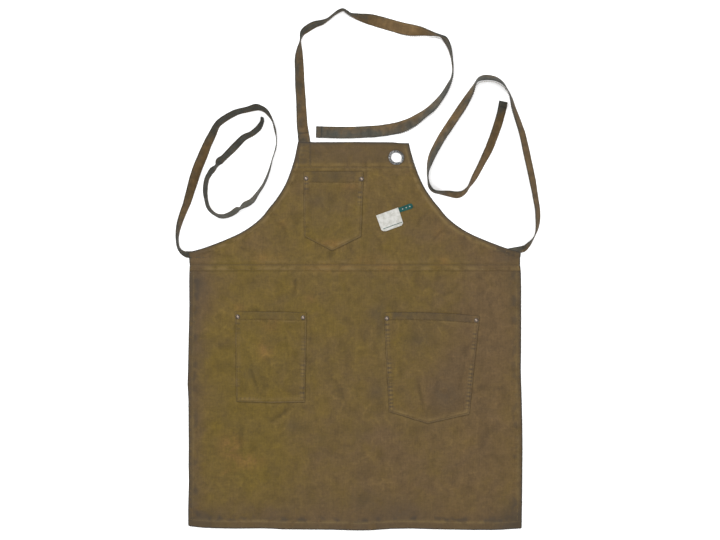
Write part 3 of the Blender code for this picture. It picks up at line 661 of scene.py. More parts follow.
# -------------------------------------------------------------------- outlines
def armhole_edge(side, steps=6):
    """Edge of the bib from the waist corner up to the top, side -1 or 1."""
    line = []
    for half, y in catmull_rom(ARMHOLE, steps):
        share = (y - FOLD_Y) / (TOP_Y - FOLD_Y)
        line.append((side * half + TOP_SHIFT * share, y))
    return np.array(line)


def round_corners(outline, radius, steps=4):
    """Round every corner of a closed outline."""
    outline = np.asarray(outline, float)
    curve = []
    for before, here, after in zip(np.roll(outline, 1, axis=0), outline,
                                   np.roll(outline, -1, axis=0)):
        a = here + (before - here) * min(0.5, radius / np.linalg.norm(before - here))
        b = here + (after - here) * min(0.5, radius / np.linalg.norm(after - here))
        for step in range(steps + 1):
            t = step / steps
            curve.append(a * (1 - t) ** 2 + here * 2 * t * (1 - t) + b * t ** 2)
    return np.array(curve)


def circle(centre, radius, count=48):
    """Points round a circle."""
    angle = np.arange(count) * math.tau / count
    return np.stack([centre[0] + radius * np.cos(angle), centre[1] + radius * np.sin(angle)], 1)


def pocket_sides(name):
    """A pocket's sewn edge: down the left side, along the bottom, up the right."""
    mouth_left, mouth_right, bottom_right, tip, bottom_left = POCKETS[name]
    return np.array([mouth_left, bottom_left, tip, bottom_right, mouth_right])


def bowed(name, drop, shares):
    """A line along a pocket's mouth, some way below it, with the mouth's small bow."""
    left, right = np.array(POCKETS[name][:2]) - (0, drop)
    line = left + (right - left) * shares[:, None]
    line[:, 1] += MOUTH_BOW[name] * 4 * shares * (1 - shares)
    return line


def pocket_mouth(name):
    """A pocket's mouth from right to left."""
    return bowed(name, 0.0, np.linspace(1, 0, 25))


# ---------------------------------------------------------------- cloth heights
SKIRT_TOP_Y = 0.1505
UNDER_SEAM = 0.0022         # front of the skirt where the bib's seam lies on it
LEFT_EDGE, RIGHT_EDGE = armhole_edge(-1), armhole_edge(1)
SIDE_ROW_X = HALF_WIDTH - 0.0095
BOTTOM_ROW_Y = BOTTOM_Y + BOTTOM_HEM + 0.0008


def skirt_front(points):
    """Height of the skirt's front face."""
    x, y = points.T
    side = HALF_WIDTH - np.abs(x)
    bottom = y - BOTTOM_Y
    hem = np.maximum(smooth((SIDE_HEM + 0.0035 - side) / 0.0035),
                     smooth((BOTTOM_HEM + 0.0035 - bottom) / 0.0035))
    calm = 0.25 + 0.75 * smooth((np.minimum(side, bottom) - 0.012) / 0.03)
    z = LOW + (HIGH - LOW) * hem + relief(points, "skirt", 0)[0] * calm
    for x_row, seed in ((-SIDE_ROW_X, 41), (SIDE_ROW_X, 42)):
        row = [(x_row, BOTTOM_ROW_Y), (x_row, SEAM_EDGE_Y)]
        z += 0.00050 * puckers(points, row, 0.010, 0.013, seed) + groove(points, row)
    row = [(-SIDE_ROW_X, BOTTOM_ROW_Y), (SIDE_ROW_X, BOTTOM_ROW_Y)]
    z += 0.00045 * puckers(points, row, 0.012, 0.016, 43) + groove(points, row)
    seam = [(-HALF_WIDTH, SEAM_EDGE_Y), (HALF_WIDTH, SEAM_EDGE_Y)]
    z += 0.00060 * puckers(points, seam, 0.014, 0.015, 44)
    for number, name in enumerate(("left_pocket", "right_pocket")):
        z += 0.00050 * puckers(points, pocket_sides(name), 0.006, 0.011, 45 + number)
    near = smooth((y - 0.118) / 0.016)
    z = z * (1 - near) + (LOW + 0.0002) * near
    under = smooth((y - SEAM_EDGE_Y) / 0.0015)
    return z * (1 - under) + UNDER_SEAM * under


def bib_front(points):
    """Height of the bib's front face, its seam over the skirt included."""
    x, y = points.T
    armhole = np.minimum(line_distance(points, LEFT_EDGE)[0],
                         line_distance(points, RIGHT_EDGE)[0])
    seam = 1 - smooth((y - 0.1560) / 0.0080)
    hem = np.maximum(smooth((ARMHOLE_HEM + 0.0030 - armhole) / 0.0030), seam)
    facing = 0.7 * smooth((y - FACING_Y) / 0.0025)
    level = LOW + (HIGH - LOW) * np.maximum(hem, facing)
    calm = 0.20 + 0.80 * smooth((armhole - 0.010) / 0.025) * smooth((y - 0.160) / 0.022)
    calm *= 1 - 0.5 * facing
    z = level + relief(points, "bib", 100)[0] * calm
    z += 0.00035 * bump(y - 0.1412, 0.0022) + 0.00045 * bump(y - 0.1543, 0.0030)
    for number, (y_row, deep) in enumerate(zip(SEAM_ROWS, (0.00012, 0.00060))):
        row = [(-HALF_WIDTH, y_row), (HALF_WIDTH, y_row)]
        z += groove(points, row, deep, 0.0016)
        z += 0.00035 * puckers(points, row, 0.004, 0.009, 131 + number)
    row = [(-HALF_WIDTH, 0.158), (HALF_WIDTH, 0.158)]
    z += 0.00050 * puckers(points, row, 0.012, 0.014, 133) * smooth((y - 0.150) / 0.008)
    for number, edge in enumerate((LEFT_EDGE, RIGHT_EDGE)):
        row = offset_line(edge, (-1, 1)[number] * ARMHOLE_HEM)
        z += groove(points, row, 0.00020)
        z += 0.00080 * puckers(points, row, 0.013, 0.013, 134 + number)
    row = [(-0.150, FACING_ROW_Y), (0.150, FACING_ROW_Y)]
    z += groove(points, row, 0.0005)
    z += 0.00040 * bump(y - 0.3575, 0.0026) + 0.00040 * bump(y - 0.3470, 0.0026)
    z += 0.00050 * puckers(points, row, 0.008, 0.012, 137)
    z += 0.00045 * puckers(points, pocket_sides("bib_pocket"), 0.006, 0.011, 138)
    root = smooth((STRAP_WIDTH / 2 + 0.001 - np.abs(x - NECK_ROOT_X)) / 0.002)
    z += 0.0006 * root * smooth((y - 0.3560) / 0.0015)
    for side in (-1, 1):
        tie = smooth((side * x - TIE_ROOT_X) / 0.002)
        z += 0.0006 * tie * smooth((TIE_ROOT_WIDTH / 2 - np.abs(y - TIE_ROOT_Y[side])) / 0.002)
        corner = [(side * 0.318, 0.166), (side * 0.332, 0.172), (side * 0.346, 0.170)]
        z -= 0.0001 * bump(line_distance(points, corner)[0], 0.0030)
    ring = np.hypot(x - GROMMET[0], y - GROMMET[1])
    flat = smooth((0.024 - ring) / 0.008)
    return z * (1 - flat) + (LOW + 0.0008) * flat


# --------------------------------------------------------------- mesh building
def flat_mesh(outline, spacing, rings, holes=(), lines=(), edge_step=0.003):
    """Triangulate a flat shape finely near its edges and along some lines.

    Returns the points, the triangles and each point's distance to the edge.
    """
    loops = [resample(loop, edge_step, closed=True) for loop in (outline, *holes)]
    points, edges, count = [], [], 0
    for loop in loops:
        points.append(loop)
        index = np.arange(len(loop)) + count
        edges += list(zip(index.tolist(), np.roll(index, -1).tolist()))
        count += len(loop)

    def to_edge(places):
        return np.min([line_distance(places, loop, closed=True)[0] for loop in loops], 0)

    def within(places):
        keep = inside(places, loops[0])
        for loop in loops[1:]:
            keep &= ~inside(places, loop)
        return keep

    for loop in loops:
        normal = left_of(unit(np.roll(loop, -1, axis=0) - np.roll(loop, 1, axis=0)))
        if not within(loop[:1] + normal[:1] * 1e-5)[0]:
            normal = -normal
        for ring in rings:
            moved = loop + normal * ring
            keep = within(moved)
            keep[keep] = to_edge(moved[keep]) > 0.93 * ring
            points.append(moved[keep])
    for line in lines:
        samples = even_steps(line, edge_step)
        for shift in (-0.0022, -0.0009, 0.0, 0.0009, 0.0022):
            moved = offset_line(samples, shift)
            keep = within(moved)
            keep[keep] = to_edge(moved[keep]) > max(rings) + 0.0004
            points.append(moved[keep])
    low, high = outline.min(0), outline.max(0)
    xs = np.arange(low[0], high[0], spacing)
    ys = np.arange(low[1], high[1], spacing * 0.866)
    grid_x, grid_y = np.meshgrid(xs, ys)
    grid_x = grid_x + spacing / 2 * (np.arange(len(ys)) % 2)[:, None]
    grid = np.stack([grid_x.ravel(), grid_y.ravel()], 1)
    grid = grid[within(grid)]
    grid = grid[to_edge(grid) > max(rings) + 0.5 * spacing]
    for line in lines:
        grid = grid[line_distance(grid, line)[0] > 0.0022 + 0.4 * spacing]
    points.append(grid)
    points = np.concatenate(points)
    made = delaunay_2d_cdt([Vector(p) for p in points], edges, [], 0, 1e-7)
    points = np.array([tuple(p) for p in made[0]])
    triangles = np.array([face for face in made[2] if len(face) == 3])
    middle = points[triangles].mean(1)
    triangles = triangles[within(middle)]
    a, b, c = (points[triangles[:, k]] for k in range(3))
    area = (b[:, 0] - a[:, 0]) * (c[:, 1] - a[:, 1]) - (b[:, 1] - a[:, 1]) * (c[:, 0] - a[:, 0])
    triangles[area < 0] = triangles[area < 0][:, ::-1]
    return points, triangles, to_edge(points)


def mesh_object(name, verts, faces, mat, smooth_shading=True, attributes=None, lying=True):
    """Make a mesh object from points, faces and named point attributes."""
    mesh = bpy.data.meshes.new(name)
    mesh.from_pydata((lie(verts) if lying else np.asarray(verts, float)).tolist(), [],
                     faces.tolist() if isinstance(faces, np.ndarray) else faces)
    mesh.validate()
    for key, values in (attributes or {}).items():
        mesh.attributes.new(key, "FLOAT", "POINT").data.foreach_set(
            "value", np.asarray(values, np.float32))
    mesh.materials.append(mat)
    if smooth_shading:
        mesh.shade_smooth()
    obj = bpy.data.objects.new(name, mesh)
    bpy.context.scene.collection.objects.link(obj)
    return obj


def closed_faces(triangles, count):
    """Faces of a top and a bottom sheet of count points each, and walls between them."""
    edges = np.concatenate([triangles[:, [0, 1]], triangles[:, [1, 2]], triangles[:, [2, 0]]])
    known = {tuple(edge) for edge in edges.tolist()}
    walls = [(a, a + count, b + count, b) for a, b in edges.tolist() if (b, a) not in known]
    return triangles.tolist() + (triangles[:, ::-1] + count).tolist() + walls


def tube_faces(rings, sides, start=0, clockwise=False):
    """Faces of a closed tube whose rings of points follow one another."""
    faces = []
    for low in range(start, start + (rings - 1) * sides, sides):
        for corner in range(sides):
            a, b = corner, (corner + 1) % sides
            if clockwise:
                a, b = b, a
            faces.append((low + a, low + b, low + sides + b, low + sides + a))
    first = list(range(start, start + sides))
    last = [corner + (rings - 1) * sides for corner in first]
    return faces + ([first, last[::-1]] if clockwise else [first[::-1], last])


def shell(name, flat, top, bottom, wear_and_highlight=0.0, shade=0.0, ridge=0.0, rim_shade=0.0):
    """Close a top and a bottom face over a flat mesh into a thin sheet of canvas."""
    points, triangles, _ = flat
    count = len(points)
    verts = np.concatenate([np.column_stack([points, top]), np.column_stack([points, bottom])])
    zero = np.zeros(count)
    marks = {"tone": patches(points, TONE), "warm": patches(points, WARM), "ridge": ridge + zero,
             "shade": np.clip(patches(points, SHADE) + shade, 0, 0.85),
             "wear_and_highlight": np.clip(wear_and_highlight + zero, 0, 1), "rim_shade": rim_shade + zero}
    marks = {key: np.concatenate([value, value]) for key, value in marks.items()}
    return mesh_object(name, verts, closed_faces(triangles, count), CANVAS, attributes=marks)


def say(piece, node, body):
    """Hide the CAD node a piece stands for and hang the piece on its body."""
    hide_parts(node)
    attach(piece, body)


# Distances from a sheet's edge at which its mesh has rings of points.
RINGS = (0.00015, 0.0005, 0.0010, 0.0019, 0.0032, 0.0050)
STRIP_RINGS = (0.00015, 0.0006, 0.0014, 0.0026)
POCKET_RINGS = (0.00015, 0.0005, 0.0010, 0.0018, 0.0028, 0.0038, 0.0048, 0.0060, 0.0074, 0.0090)


def fold_faces(front, distance, radius):
    """Top and bottom of cloth whose edge turns round with some radius."""
    top = front - edge_drop(distance, radius)
    bottom = top - CLOTH * (0.3 + 0.7 * smooth(distance / 0.0012))
    return top, bottom


# A stitch from end to end: (along, width, lift) shares, and how it slants.
STITCH_SHAPE = ((-0.50, 0.45, -0.85), (-0.34, 1.0, 0.10), (0.34, 1.0, 0.10), (0.50, 0.45, -0.85))
STITCH_SLANT = 0.16


def stitches(name, row, pitch=STITCH_PITCH, radius=0.00030, sides=5):
    """Sew a row of separate stitches along a line, following the cloth's face.

    row gives each place's position, direction and the way out of the cloth.
    """
    places, along, out = row
    side = np.cross(out, along)
    length = pitch * 0.80
    count, rings = len(places), len(STITCH_SHAPE)
    verts = np.zeros((count, rings, sides, 3))
    for ring, (t, wide, lift) in enumerate(STITCH_SHAPE):
        centre = places + along * (t * length) + side * (STITCH_SLANT * t * length) \
            + out * (radius * (0.25 + lift))
        for corner in range(sides):
            angle = corner * math.tau / sides
            verts[:, ring, corner] = centre + side * (radius * wide * math.cos(angle)) \
                + out * (radius * wide * math.sin(angle))
    faces = []
    for stitch in range(count):
        faces += tube_faces(rings, sides, stitch * rings * sides)
    return mesh_object(name, verts.reshape(-1, 3), faces, THREAD)


def row_on(front, line):
    """Places of stitches along a line of (x, y), on a face of the given height."""
    points = even_steps(line, STITCH_PITCH)
    middle = (points[1:] + points[:-1]) / 2
    step = unit(points[1:] - points[:-1])
    reach = 0.0012
    ahead = front(middle + step * reach)
    behind = front(middle - step * reach)
    along = unit(np.column_stack([step, (ahead - behind) / (2 * reach)]))
    places = np.column_stack([middle, (ahead + behind) / 2])
    level = np.column_stack([left_of(step), np.zeros(len(step))])
    return places, along, np.cross(along, level)


def turned(name, profile, centre, mat, segments=48):
    """Spin a profile of (radius, z, grime, beads) points about the vertical."""
    verts, faces, rings, grime = [], [], [], []
    for radius, z, *dirt in profile:
        count = segments if radius > 0 else 1
        rings.append(range(len(verts), len(verts) + count))
        for step in range(count):
            angle = math.tau * step / segments
            verts.append((centre[0] + radius * math.cos(angle),
                          centre[1] + radius * math.sin(angle), z))
            bead = 0.75 * (len(dirt) > 1) * (math.sin(26 * angle) > 0.45)
            grime.append(dirt[0] - bead if dirt else 0.0)
    pairs = list(zip(rings, rings[1:]))
    if profile[0][0] > 0:
        pairs.append((rings[-1], rings[0]))
    for lower, upper in pairs:
        for step in range(segments):
            after = (step + 1) % segments
            corners = [lower[step % len(lower)], lower[after % len(lower)],
                       upper[after % len(upper)], upper[step % len(upper)]]
            faces.append(list(dict.fromkeys(corners)))
    obj = mesh_object(name, verts, faces, mat, attributes={"grime": grime})
    obj.data.set_sharp_from_angle(angle=math.radians(50))
    return obj


# ------------------------------------------------------------------- materials
CANVAS = canvas_material("canvas")
STRAP = strap_material("strap_canvas")
THREAD = thread_material("sewing_thread", (0.074, 0.050, 0.021), (0.124, 0.082, 0.034))
BRASS = metal_material("antique_rivet", (0.200, 0.160, 0.130), (0.08, 0.060, 0.045), 0.40)
NICKEL = metal_material("polished_nickel", (0.42, 0.42, 0.42), (0.20, 0.20, 0.19), 0.24)
CREAM = thread_material("cream_floss", (0.36, 0.355, 0.325), (0.46, 0.455, 0.43))
TEAL = thread_material("teal_floss", (0.0042, 0.040, 0.035), (0.011, 0.072, 0.063))
PATCH = thread_material("patch_backing", (0.020, 0.022, 0.019), (0.037, 0.035, 0.027))


# ------------------------------------------------------------------------ cloth
def make_skirt():
    """Make the skirt's cloth and its turned side and bottom hems."""
    outline = round_corners([(-HALF_WIDTH, SKIRT_TOP_Y), (-HALF_WIDTH, BOTTOM_Y),
                             (HALF_WIDTH, BOTTOM_Y), (HALF_WIDTH, SKIRT_TOP_Y)], 0.003)
    rows = [[(-SIDE_ROW_X, BOTTOM_ROW_Y), (-SIDE_ROW_X, 0.140)],
            [(SIDE_ROW_X, BOTTOM_ROW_Y), (SIDE_ROW_X, 0.140)],
            [(-SIDE_ROW_X, BOTTOM_ROW_Y), (SIDE_ROW_X, BOTTOM_ROW_Y)]]
    flat = flat_mesh(outline, 0.0040, RINGS, lines=rows)
    points, _, distance = flat
    x, y = points.T
    top, bottom = fold_faces(skirt_front(points), distance, 0.0017)
    ragged = smooth((noise(x, y, 0.05, 71) + 0.25) / 0.5)
    wear_and_highlight = 0.55 * bump(distance - 0.0030, 0.0022) * ragged
    for row in rows[:2]:
        wear_and_highlight += 0.65 * bump(line_distance(points, row)[0], 0.0022)
    wear_and_highlight += 0.95 * bump(y - BOTTOM_ROW_Y - 0.0008, 0.0022)
    for name in ("left_pocket", "right_pocket"):
        away, _ = line_distance(points, pocket_sides(name))
        wear_and_highlight += 0.25 * bump(away - 0.002, 0.003)
    # Painted shade over the rounded edge, and a darker band within about 15 mm of it.
    shade = 0.95 * (1 - smooth(distance / 0.0032))
    shade += 0.30 * (1 - smooth((distance - 0.003) / 0.012))
    # Painted shadow under the bib's folded edge, just below the waist seam.
    shade += 0.05 * bump(y - 0.1335, 0.0022)
    # Painted shade: dark ticks along the side edges where they wave.
    beat = smooth((noise(0 * y, y, 0.0065, 79 + (x > 0)) + 0.10) / 0.25)
    shade += 0.8 * beat * bump(HALF_WIDTH - np.abs(x), 0.0045) * (distance < 0.006)
    # Painted shade in the puckers above the bottom hem, and darker patches inside the side hems.
    blotch = smooth((noise(x, y, 0.020, 81, 2) + 0.05) / 0.35)
    shade += 0.60 * blotch * bump(y - BOTTOM_ROW_Y - 0.0065, 0.0055)
    shade += 0.45 * blotch * bump(HALF_WIDTH - np.abs(x) - 0.015, 0.006)
    skirt = shell("skirt_cloth", flat, top, bottom, wear_and_highlight, shade,
                  relief(points, "skirt", 0)[1], 1 - smooth(distance / 0.0030))
    say(skirt, "skirt_panel", "skirt")

    low, inner = BOTTOM_Y + BOTTOM_HEM, HALF_WIDTH - SIDE_HEM
    for name, left, bottom, right, top, height in (
            ("left_side_hem", -HALF_WIDTH, low + 0.0003, -inner, 0.1365, 0.0024),
            ("right_side_hem", inner, low + 0.0003, HALF_WIDTH, 0.1365, 0.0024),
            ("bottom_hem", -HALF_WIDTH, BOTTOM_Y, HALF_WIDTH, low, 0.0024),
            ("waist_seam_band", -HALF_WIDTH, 0.1370, HALF_WIDTH, 0.1534, 0.0013)):
        corners = [(left, top), (left, bottom), (right, bottom), (right, top)]
        hem_strip(name, corners, height, "skirt")


def hem_strip(name, outline, height, body):
    """Make a turned strip behind the cloth: its folded edge rounded, crumpled a little."""
    outline = round_corners(outline, 0.0012, 2)
    flat = flat_mesh(outline, 0.0040, STRIP_RINGS)
    points, _, distance = flat
    wave = 0.00012 * noise(points[:, 0], points[:, 1], 0.02, 201, 2)
    top = height + wave - edge_drop(distance, height / 2)
    bottom = 0.00015 + np.abs(wave) + edge_drop(distance, height / 2)
    hem = shell(f"{name}_turned", flat, top, np.minimum(bottom, top - 0.0001),
                0.2 * bump(distance, 0.002), 0.15)
    say(hem, name, body)
    return hem


def make_bib():
    """Make the bib's cloth, its armhole hems and the facing behind its top."""
    outline = np.concatenate([[(-HALF_WIDTH, SEAM_EDGE_Y), (HALF_WIDTH, SEAM_EDGE_Y)],
                              RIGHT_EDGE, LEFT_EDGE[::-1]])
    hole = circle(GROMMET, 0.0112)
    hem_rows = [offset_line(RIGHT_EDGE, ARMHOLE_HEM), offset_line(LEFT_EDGE, -ARMHOLE_HEM)]
    rows = [[(-HALF_WIDTH, y), (HALF_WIDTH, y)] for y in SEAM_ROWS]
    rows.append([(-0.135, FACING_ROW_Y), (0.135, FACING_ROW_Y)])
    flat = flat_mesh(outline, 0.0036, RINGS, (hole,), rows + hem_rows, 0.0028)
    points, _, distance = flat
    x, y = points.T
    top, bottom = fold_faces(bib_front(points), distance, 0.0016)
    crisp = 0.92 * edge_drop(distance, 0.0016) * (1 - smooth((y - 0.1375) / 0.002))
    top, bottom = top + crisp, bottom + crisp
    seam = smooth((0.1500 - y) / 0.0010)
    bottom -= 0.0007 * seam * smooth(distance / 0.0012)
    ragged = smooth((noise(x, y, 0.045, 72) + 0.30) / 0.5)
    wear_and_highlight = 0.50 * bump(distance - 0.0030, 0.0022) * ragged
    for row in hem_rows:
        wear_and_highlight += 1.00 * bump(line_distance(points, row)[0] - 0.0004, 0.0022) * (y > 0.176)
    # Pale on the raised seam and facing ridges: rubbed wax and painted highlight.
    wear_and_highlight += (0.55 * bump(y - 0.1412, 0.0034) + 0.45 * bump(y - 0.1540, 0.0026)) * ragged
    wear_and_highlight += 0.55 * (bump(y - 0.3475, 0.0022) + bump(y - 0.3575, 0.0024)) * (0.4 + 0.6 * ragged)
    away, _ = line_distance(points, pocket_sides("bib_pocket"))
    wear_and_highlight += 0.30 * bump(away - 0.002, 0.003)
    # Painted shade over the rounded edge, but not at the seam's lower edge, and a darker band along
    # the edges above the waist.
    seam_edge = smooth((y - 0.137) / 0.003)
    shade = 1.00 * (1 - smooth(distance / 0.0034)) * seam_edge \
        + 0.50 * (1 - smooth((distance - 0.002) / 0.0075)) * smooth((y - 0.150) / 0.02)
    # Painted shade in the grooves of the upper waist row and the facing row.
    shade += 0.35 * bump(y - SEAM_ROWS[1], 0.0014) + 0.35 * bump(y - FACING_ROW_Y, 0.0014)
    shade += 0.30 * smooth((y - 0.3580) / 0.006)
    # Painted shade along the sides of the neck strap's end under the cloth, and in small folds
    # there.
    root = bump(np.abs(x - NECK_ROOT_X) - STRAP_WIDTH / 2, 0.0013) * smooth((y - 0.3545) / 0.002)
    folds = smooth((noise(x * 0.2, y, 0.008, 82) + 0.1) / 0.3) * smooth((y - 0.3545) / 0.002)
    shade += 0.60 * root + 0.40 * folds * bump(x - NECK_ROOT_X, 0.010)
    # Painted shade in the fold at each waist corner, where a tie pulls the cloth.
    for side in (-1, 1):
        corner = [(side * 0.300, 0.180), (side * 0.318, 0.174), (side * 0.333, 0.169)]
        shade += (0.45 + 0.25 * side) * bump(line_distance(points, corner)[0], 0.0040)
    bib = shell("bib_cloth", flat, top, bottom, wear_and_highlight, shade,
                relief(points, "bib", 100)[1] * smooth((y - 0.156) / 0.01),
                seam_edge * (1 - smooth(distance / 0.0030)))
    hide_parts("bib_panel")
    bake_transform(bib)

    for name, edge, side in (("right_armhole_hem", RIGHT_EDGE, 1),
                             ("left_armhole_hem", LEFT_EDGE, -1)):
        hem, inner = armhole_hem(edge, side, FACING_Y - 0.0005)
        hem_strip(name, np.concatenate([hem, inner[::-1]]), 0.0022, "bib")
    band = [edge[edge[:, 1] > FACING_Y] for edge in (RIGHT_EDGE, LEFT_EDGE)]
    outline = np.concatenate([band[0], band[1][::-1]])
    flat = flat_mesh(outline, 0.0040, STRIP_RINGS, (circle(GROMMET, 0.0114),))
    points, _, distance = flat
    wave = 0.00018 * noise(points[:, 0], points[:, 1], 0.03, 205, 2)
    top = 0.0014 + wave - edge_drop(distance, 0.0004)
    bottom = 0.0006 + wave + edge_drop(distance, 0.0004)
    facing = shell("bib_facing_cloth", flat, top, bottom, 0.2 * bump(distance, 0.002), 0.1)
    say(facing, "bib_top_facing", "bib")


def armhole_hem(edge, side, top):
    """The hemmed stretch of an armhole's edge below some height, and its inner line."""
    hem = edge[(np.abs(edge[:, 0]) < ARMHOLE_HEM_X) & (edge[:, 1] < top)]
    return hem, offset_line(hem, side * ARMHOLE_HEM)


# ---------------------------------------------------------------------- pockets
def pocket_rise(name, ground):
    """Return functions for the heights of a pocket's back and front faces."""
    corners = np.array(POCKETS[name])
    sides = pocket_sides(name)
    mouth = pocket_mouth(name)
    wide = corners[1][0] - corners[0][0]
    row = pocket_row(name)
    seed = POCKET_SEED[name]

    def faces(points):
        sewn = line_distance(points, sides)[0]
        open_end = line_distance(points, mouth)[0]
        free = smooth((sewn - 0.009) / 0.030)
        middle = 1 - (2 * (points[:, 0] - corners[0][0]) / wide - 1) ** 2
        belly = 0.0011 * free + 0.0013 * np.clip(middle, 0, 1) * smooth((0.055 - open_end) / 0.055)
        own = relief(points, name, seed)[0] * 0.85 * (0.15 + 0.85 * free)
        own *= 0.4 + 0.6 * smooth((open_end - MOUTH_HEM[name]) / 0.02)
        back = ground(points) + 0.0003 + np.maximum(belly + own, 0.15 * belly)
        turned_in = smooth((0.0095 - sewn) / 0.0015)
        hem = smooth((MOUTH_HEM[name] - 0.0006 - open_end) / 0.0012)
        layers = CLOTH + 0.0007 * np.maximum(turned_in, 1.4 * hem)
        front = back + layers + groove(points, row, 0.00045, 0.0010)
        front += 0.00045 * puckers(points, sides, 0.007, 0.008, seed + 3)
        return back, front

    return faces


def pocket_row(name):
    """Line of a pocket's sewn row, inside its edge, starting below the rivets."""
    row = corner_offset(pocket_sides(name), STITCH_INSET)
    row[0] = row[0] + (row[1] - row[0]) * 0.02
    row[-1] = row[-1] + (row[-2] - row[-1]) * 0.02
    return row


def mouth_row(name):
    """Line of the sewn row that holds a pocket's mouth hem."""
    return bowed(name, MOUTH_HEM[name] - 0.0012, np.linspace(0.022, 0.978, 25))


def make_pocket(name, body, ground):
    """Make one patch pocket with its rows of stitches and its rivets."""
    sides, row, band_row = pocket_sides(name), pocket_row(name), mouth_row(name)
    faces = pocket_rise(name, ground)

    def surface(places):
        return faces(places)[1]

    def band_surface(places):
        return surface(places) + groove(places, band_row, 0.00050, 0.0011)

    outline = round_corners(np.concatenate([sides, pocket_mouth(name)[1:-1]]), 0.0018, 3)
    flat = flat_mesh(outline, 0.0032, POCKET_RINGS, lines=[row, band_row], edge_step=0.0019)
    points, _, distance = flat
    x, y = points.T
    back, front = faces(points)
    front = front + groove(points, band_row, 0.00050, 0.0011)
    radius = np.minimum((front - back) / 2, 0.0009)
    drop = edge_drop(distance / radius * 0.001, 0.001) / 0.001 * radius
    front, back = front - drop, back + drop * 0.8
    sewn, run = line_distance(points, sides)
    open_end = line_distance(points, pocket_mouth(name))[0]
    ragged = smooth((noise(x, y, 0.03, 75) + 0.3) / 0.5)
    wear_and_highlight = 0.75 * bump(sewn - 0.0011, 0.0010) * ragged + 0.25 * bump(sewn - 0.0075, 0.003)
    wear_and_highlight += 0.45 * bump(open_end - MOUTH_HEM[name] - 0.001, 0.0020) * ragged
    shade = MOUTH_SHADE[name] * smooth((MOUTH_HEM[name] - 0.0005 - open_end) / 0.0015) \
        * smooth((sewn - 0.012) / 0.010) * (0.75 + 1.2 * noise(x, y, 0.03, 76))
    low_edge = smooth((POCKETS[name][4][1] + 0.012 - y) / 0.012)
    # Painted shadow along the pocket's edge, stronger along its bottom.
    shade += (0.60 + 0.40 * low_edge) * (1 - smooth(distance / 0.0014))
    # Painted shade in the groove of the sewn row.
    shade += 0.30 * bump(sewn - STITCH_INSET, 0.0009)
    # Where the sewn edge puckers: dark ticks of painted shade in the folds, and pale between them,
    # rubbed wax and painted highlight.
    beat = np.sin(math.tau * (run / 0.0082 + 0.9 * noise(run, 0 * x, 0.03, 78)))
    some = smooth((noise(run, 0 * x + 0.4, 0.035, 77) + PUCKER_SHADING[name]) / 0.40) \
        * smooth(open_end / 0.02)
    ticks = smooth((beat - 0.1) / 0.6) * some * (1 - low_edge)
    shade += ticks * (0.80 * bump(sewn - 0.0034, 0.0020) + 0.62 * bump(sewn - 0.0082, 0.0024))
    wear_and_highlight += 0.55 * (1 - ticks) * some * bump(sewn - 0.0058, 0.0018)
    ridge = relief(points, name, POCKET_SEED[name])[1] * smooth((sewn - 0.006) / 0.01)
    pocket = shell(f"{name}_cloth", flat, front, back, wear_and_highlight, shade, ridge)
    say(pocket, name, body)

    pieces = []
    for line, label, height in ((row, "stitching", surface),
                                (band_row, "mouth_stitching", band_surface)):
        pieces.append(stitches(f"{name}_{label}_rows", row_on(height, line)))
        say(pieces[-1], f"{name}_{label}", body)
    for label in ("left", "right"):
        pieces += make_rivet(f"{name}_rivet", label, body, surface)


def make_rivet(prefix, label, body, surface):
    """Make a rivet's cap and its burr where the CAD has them."""
    centre, radius = cad_disc(f"{prefix}_cap_{label}")
    z = float(surface(circle(centre, radius, 12)).mean()) - 0.0001
    cap = [(0, 0.0008), (0.0013, 0.0008), (0.0013, z), (radius, z, 1), (radius, z + 0.0004, 0.8),
           (radius * 0.96, z + 0.0008, 0.5), (radius * 0.88, z + 0.0010, 0.4),
           (radius * 0.82, z + 0.0009, 0.9), (radius * 0.78, z + 0.0007, 1),
           (radius * 0.72, z + 0.0009, 0.7), (radius * 0.62, z + 0.0014, 0.1),
           (radius * 0.45, z + 0.0019), (radius * 0.25, z + 0.0022), (0, z + 0.0023)]
    head = turned(f"{prefix}_head_{label}", cap, centre, BRASS)
    say(head, f"{prefix}_cap_{label}", body)
    radius = cad_disc(f"{prefix}_burr_{label}")[1]
    burr = [(0.0016, 0.0003), (radius * 0.55, 0.0001), (radius * 0.62, 0.0003),
            (radius * 0.92, 0.0002), (radius, 0.0004), (radius, 0.0007), (radius * 0.9, 0.0009),
            (0.0024, 0.0010), (0.0024, 0.0018), (0.0016, 0.0018)]
    washer = turned(f"{prefix}_washer_{label}", burr, centre, BRASS)
    say(washer, f"{prefix}_burr_{label}", body)
    return [head, washer]


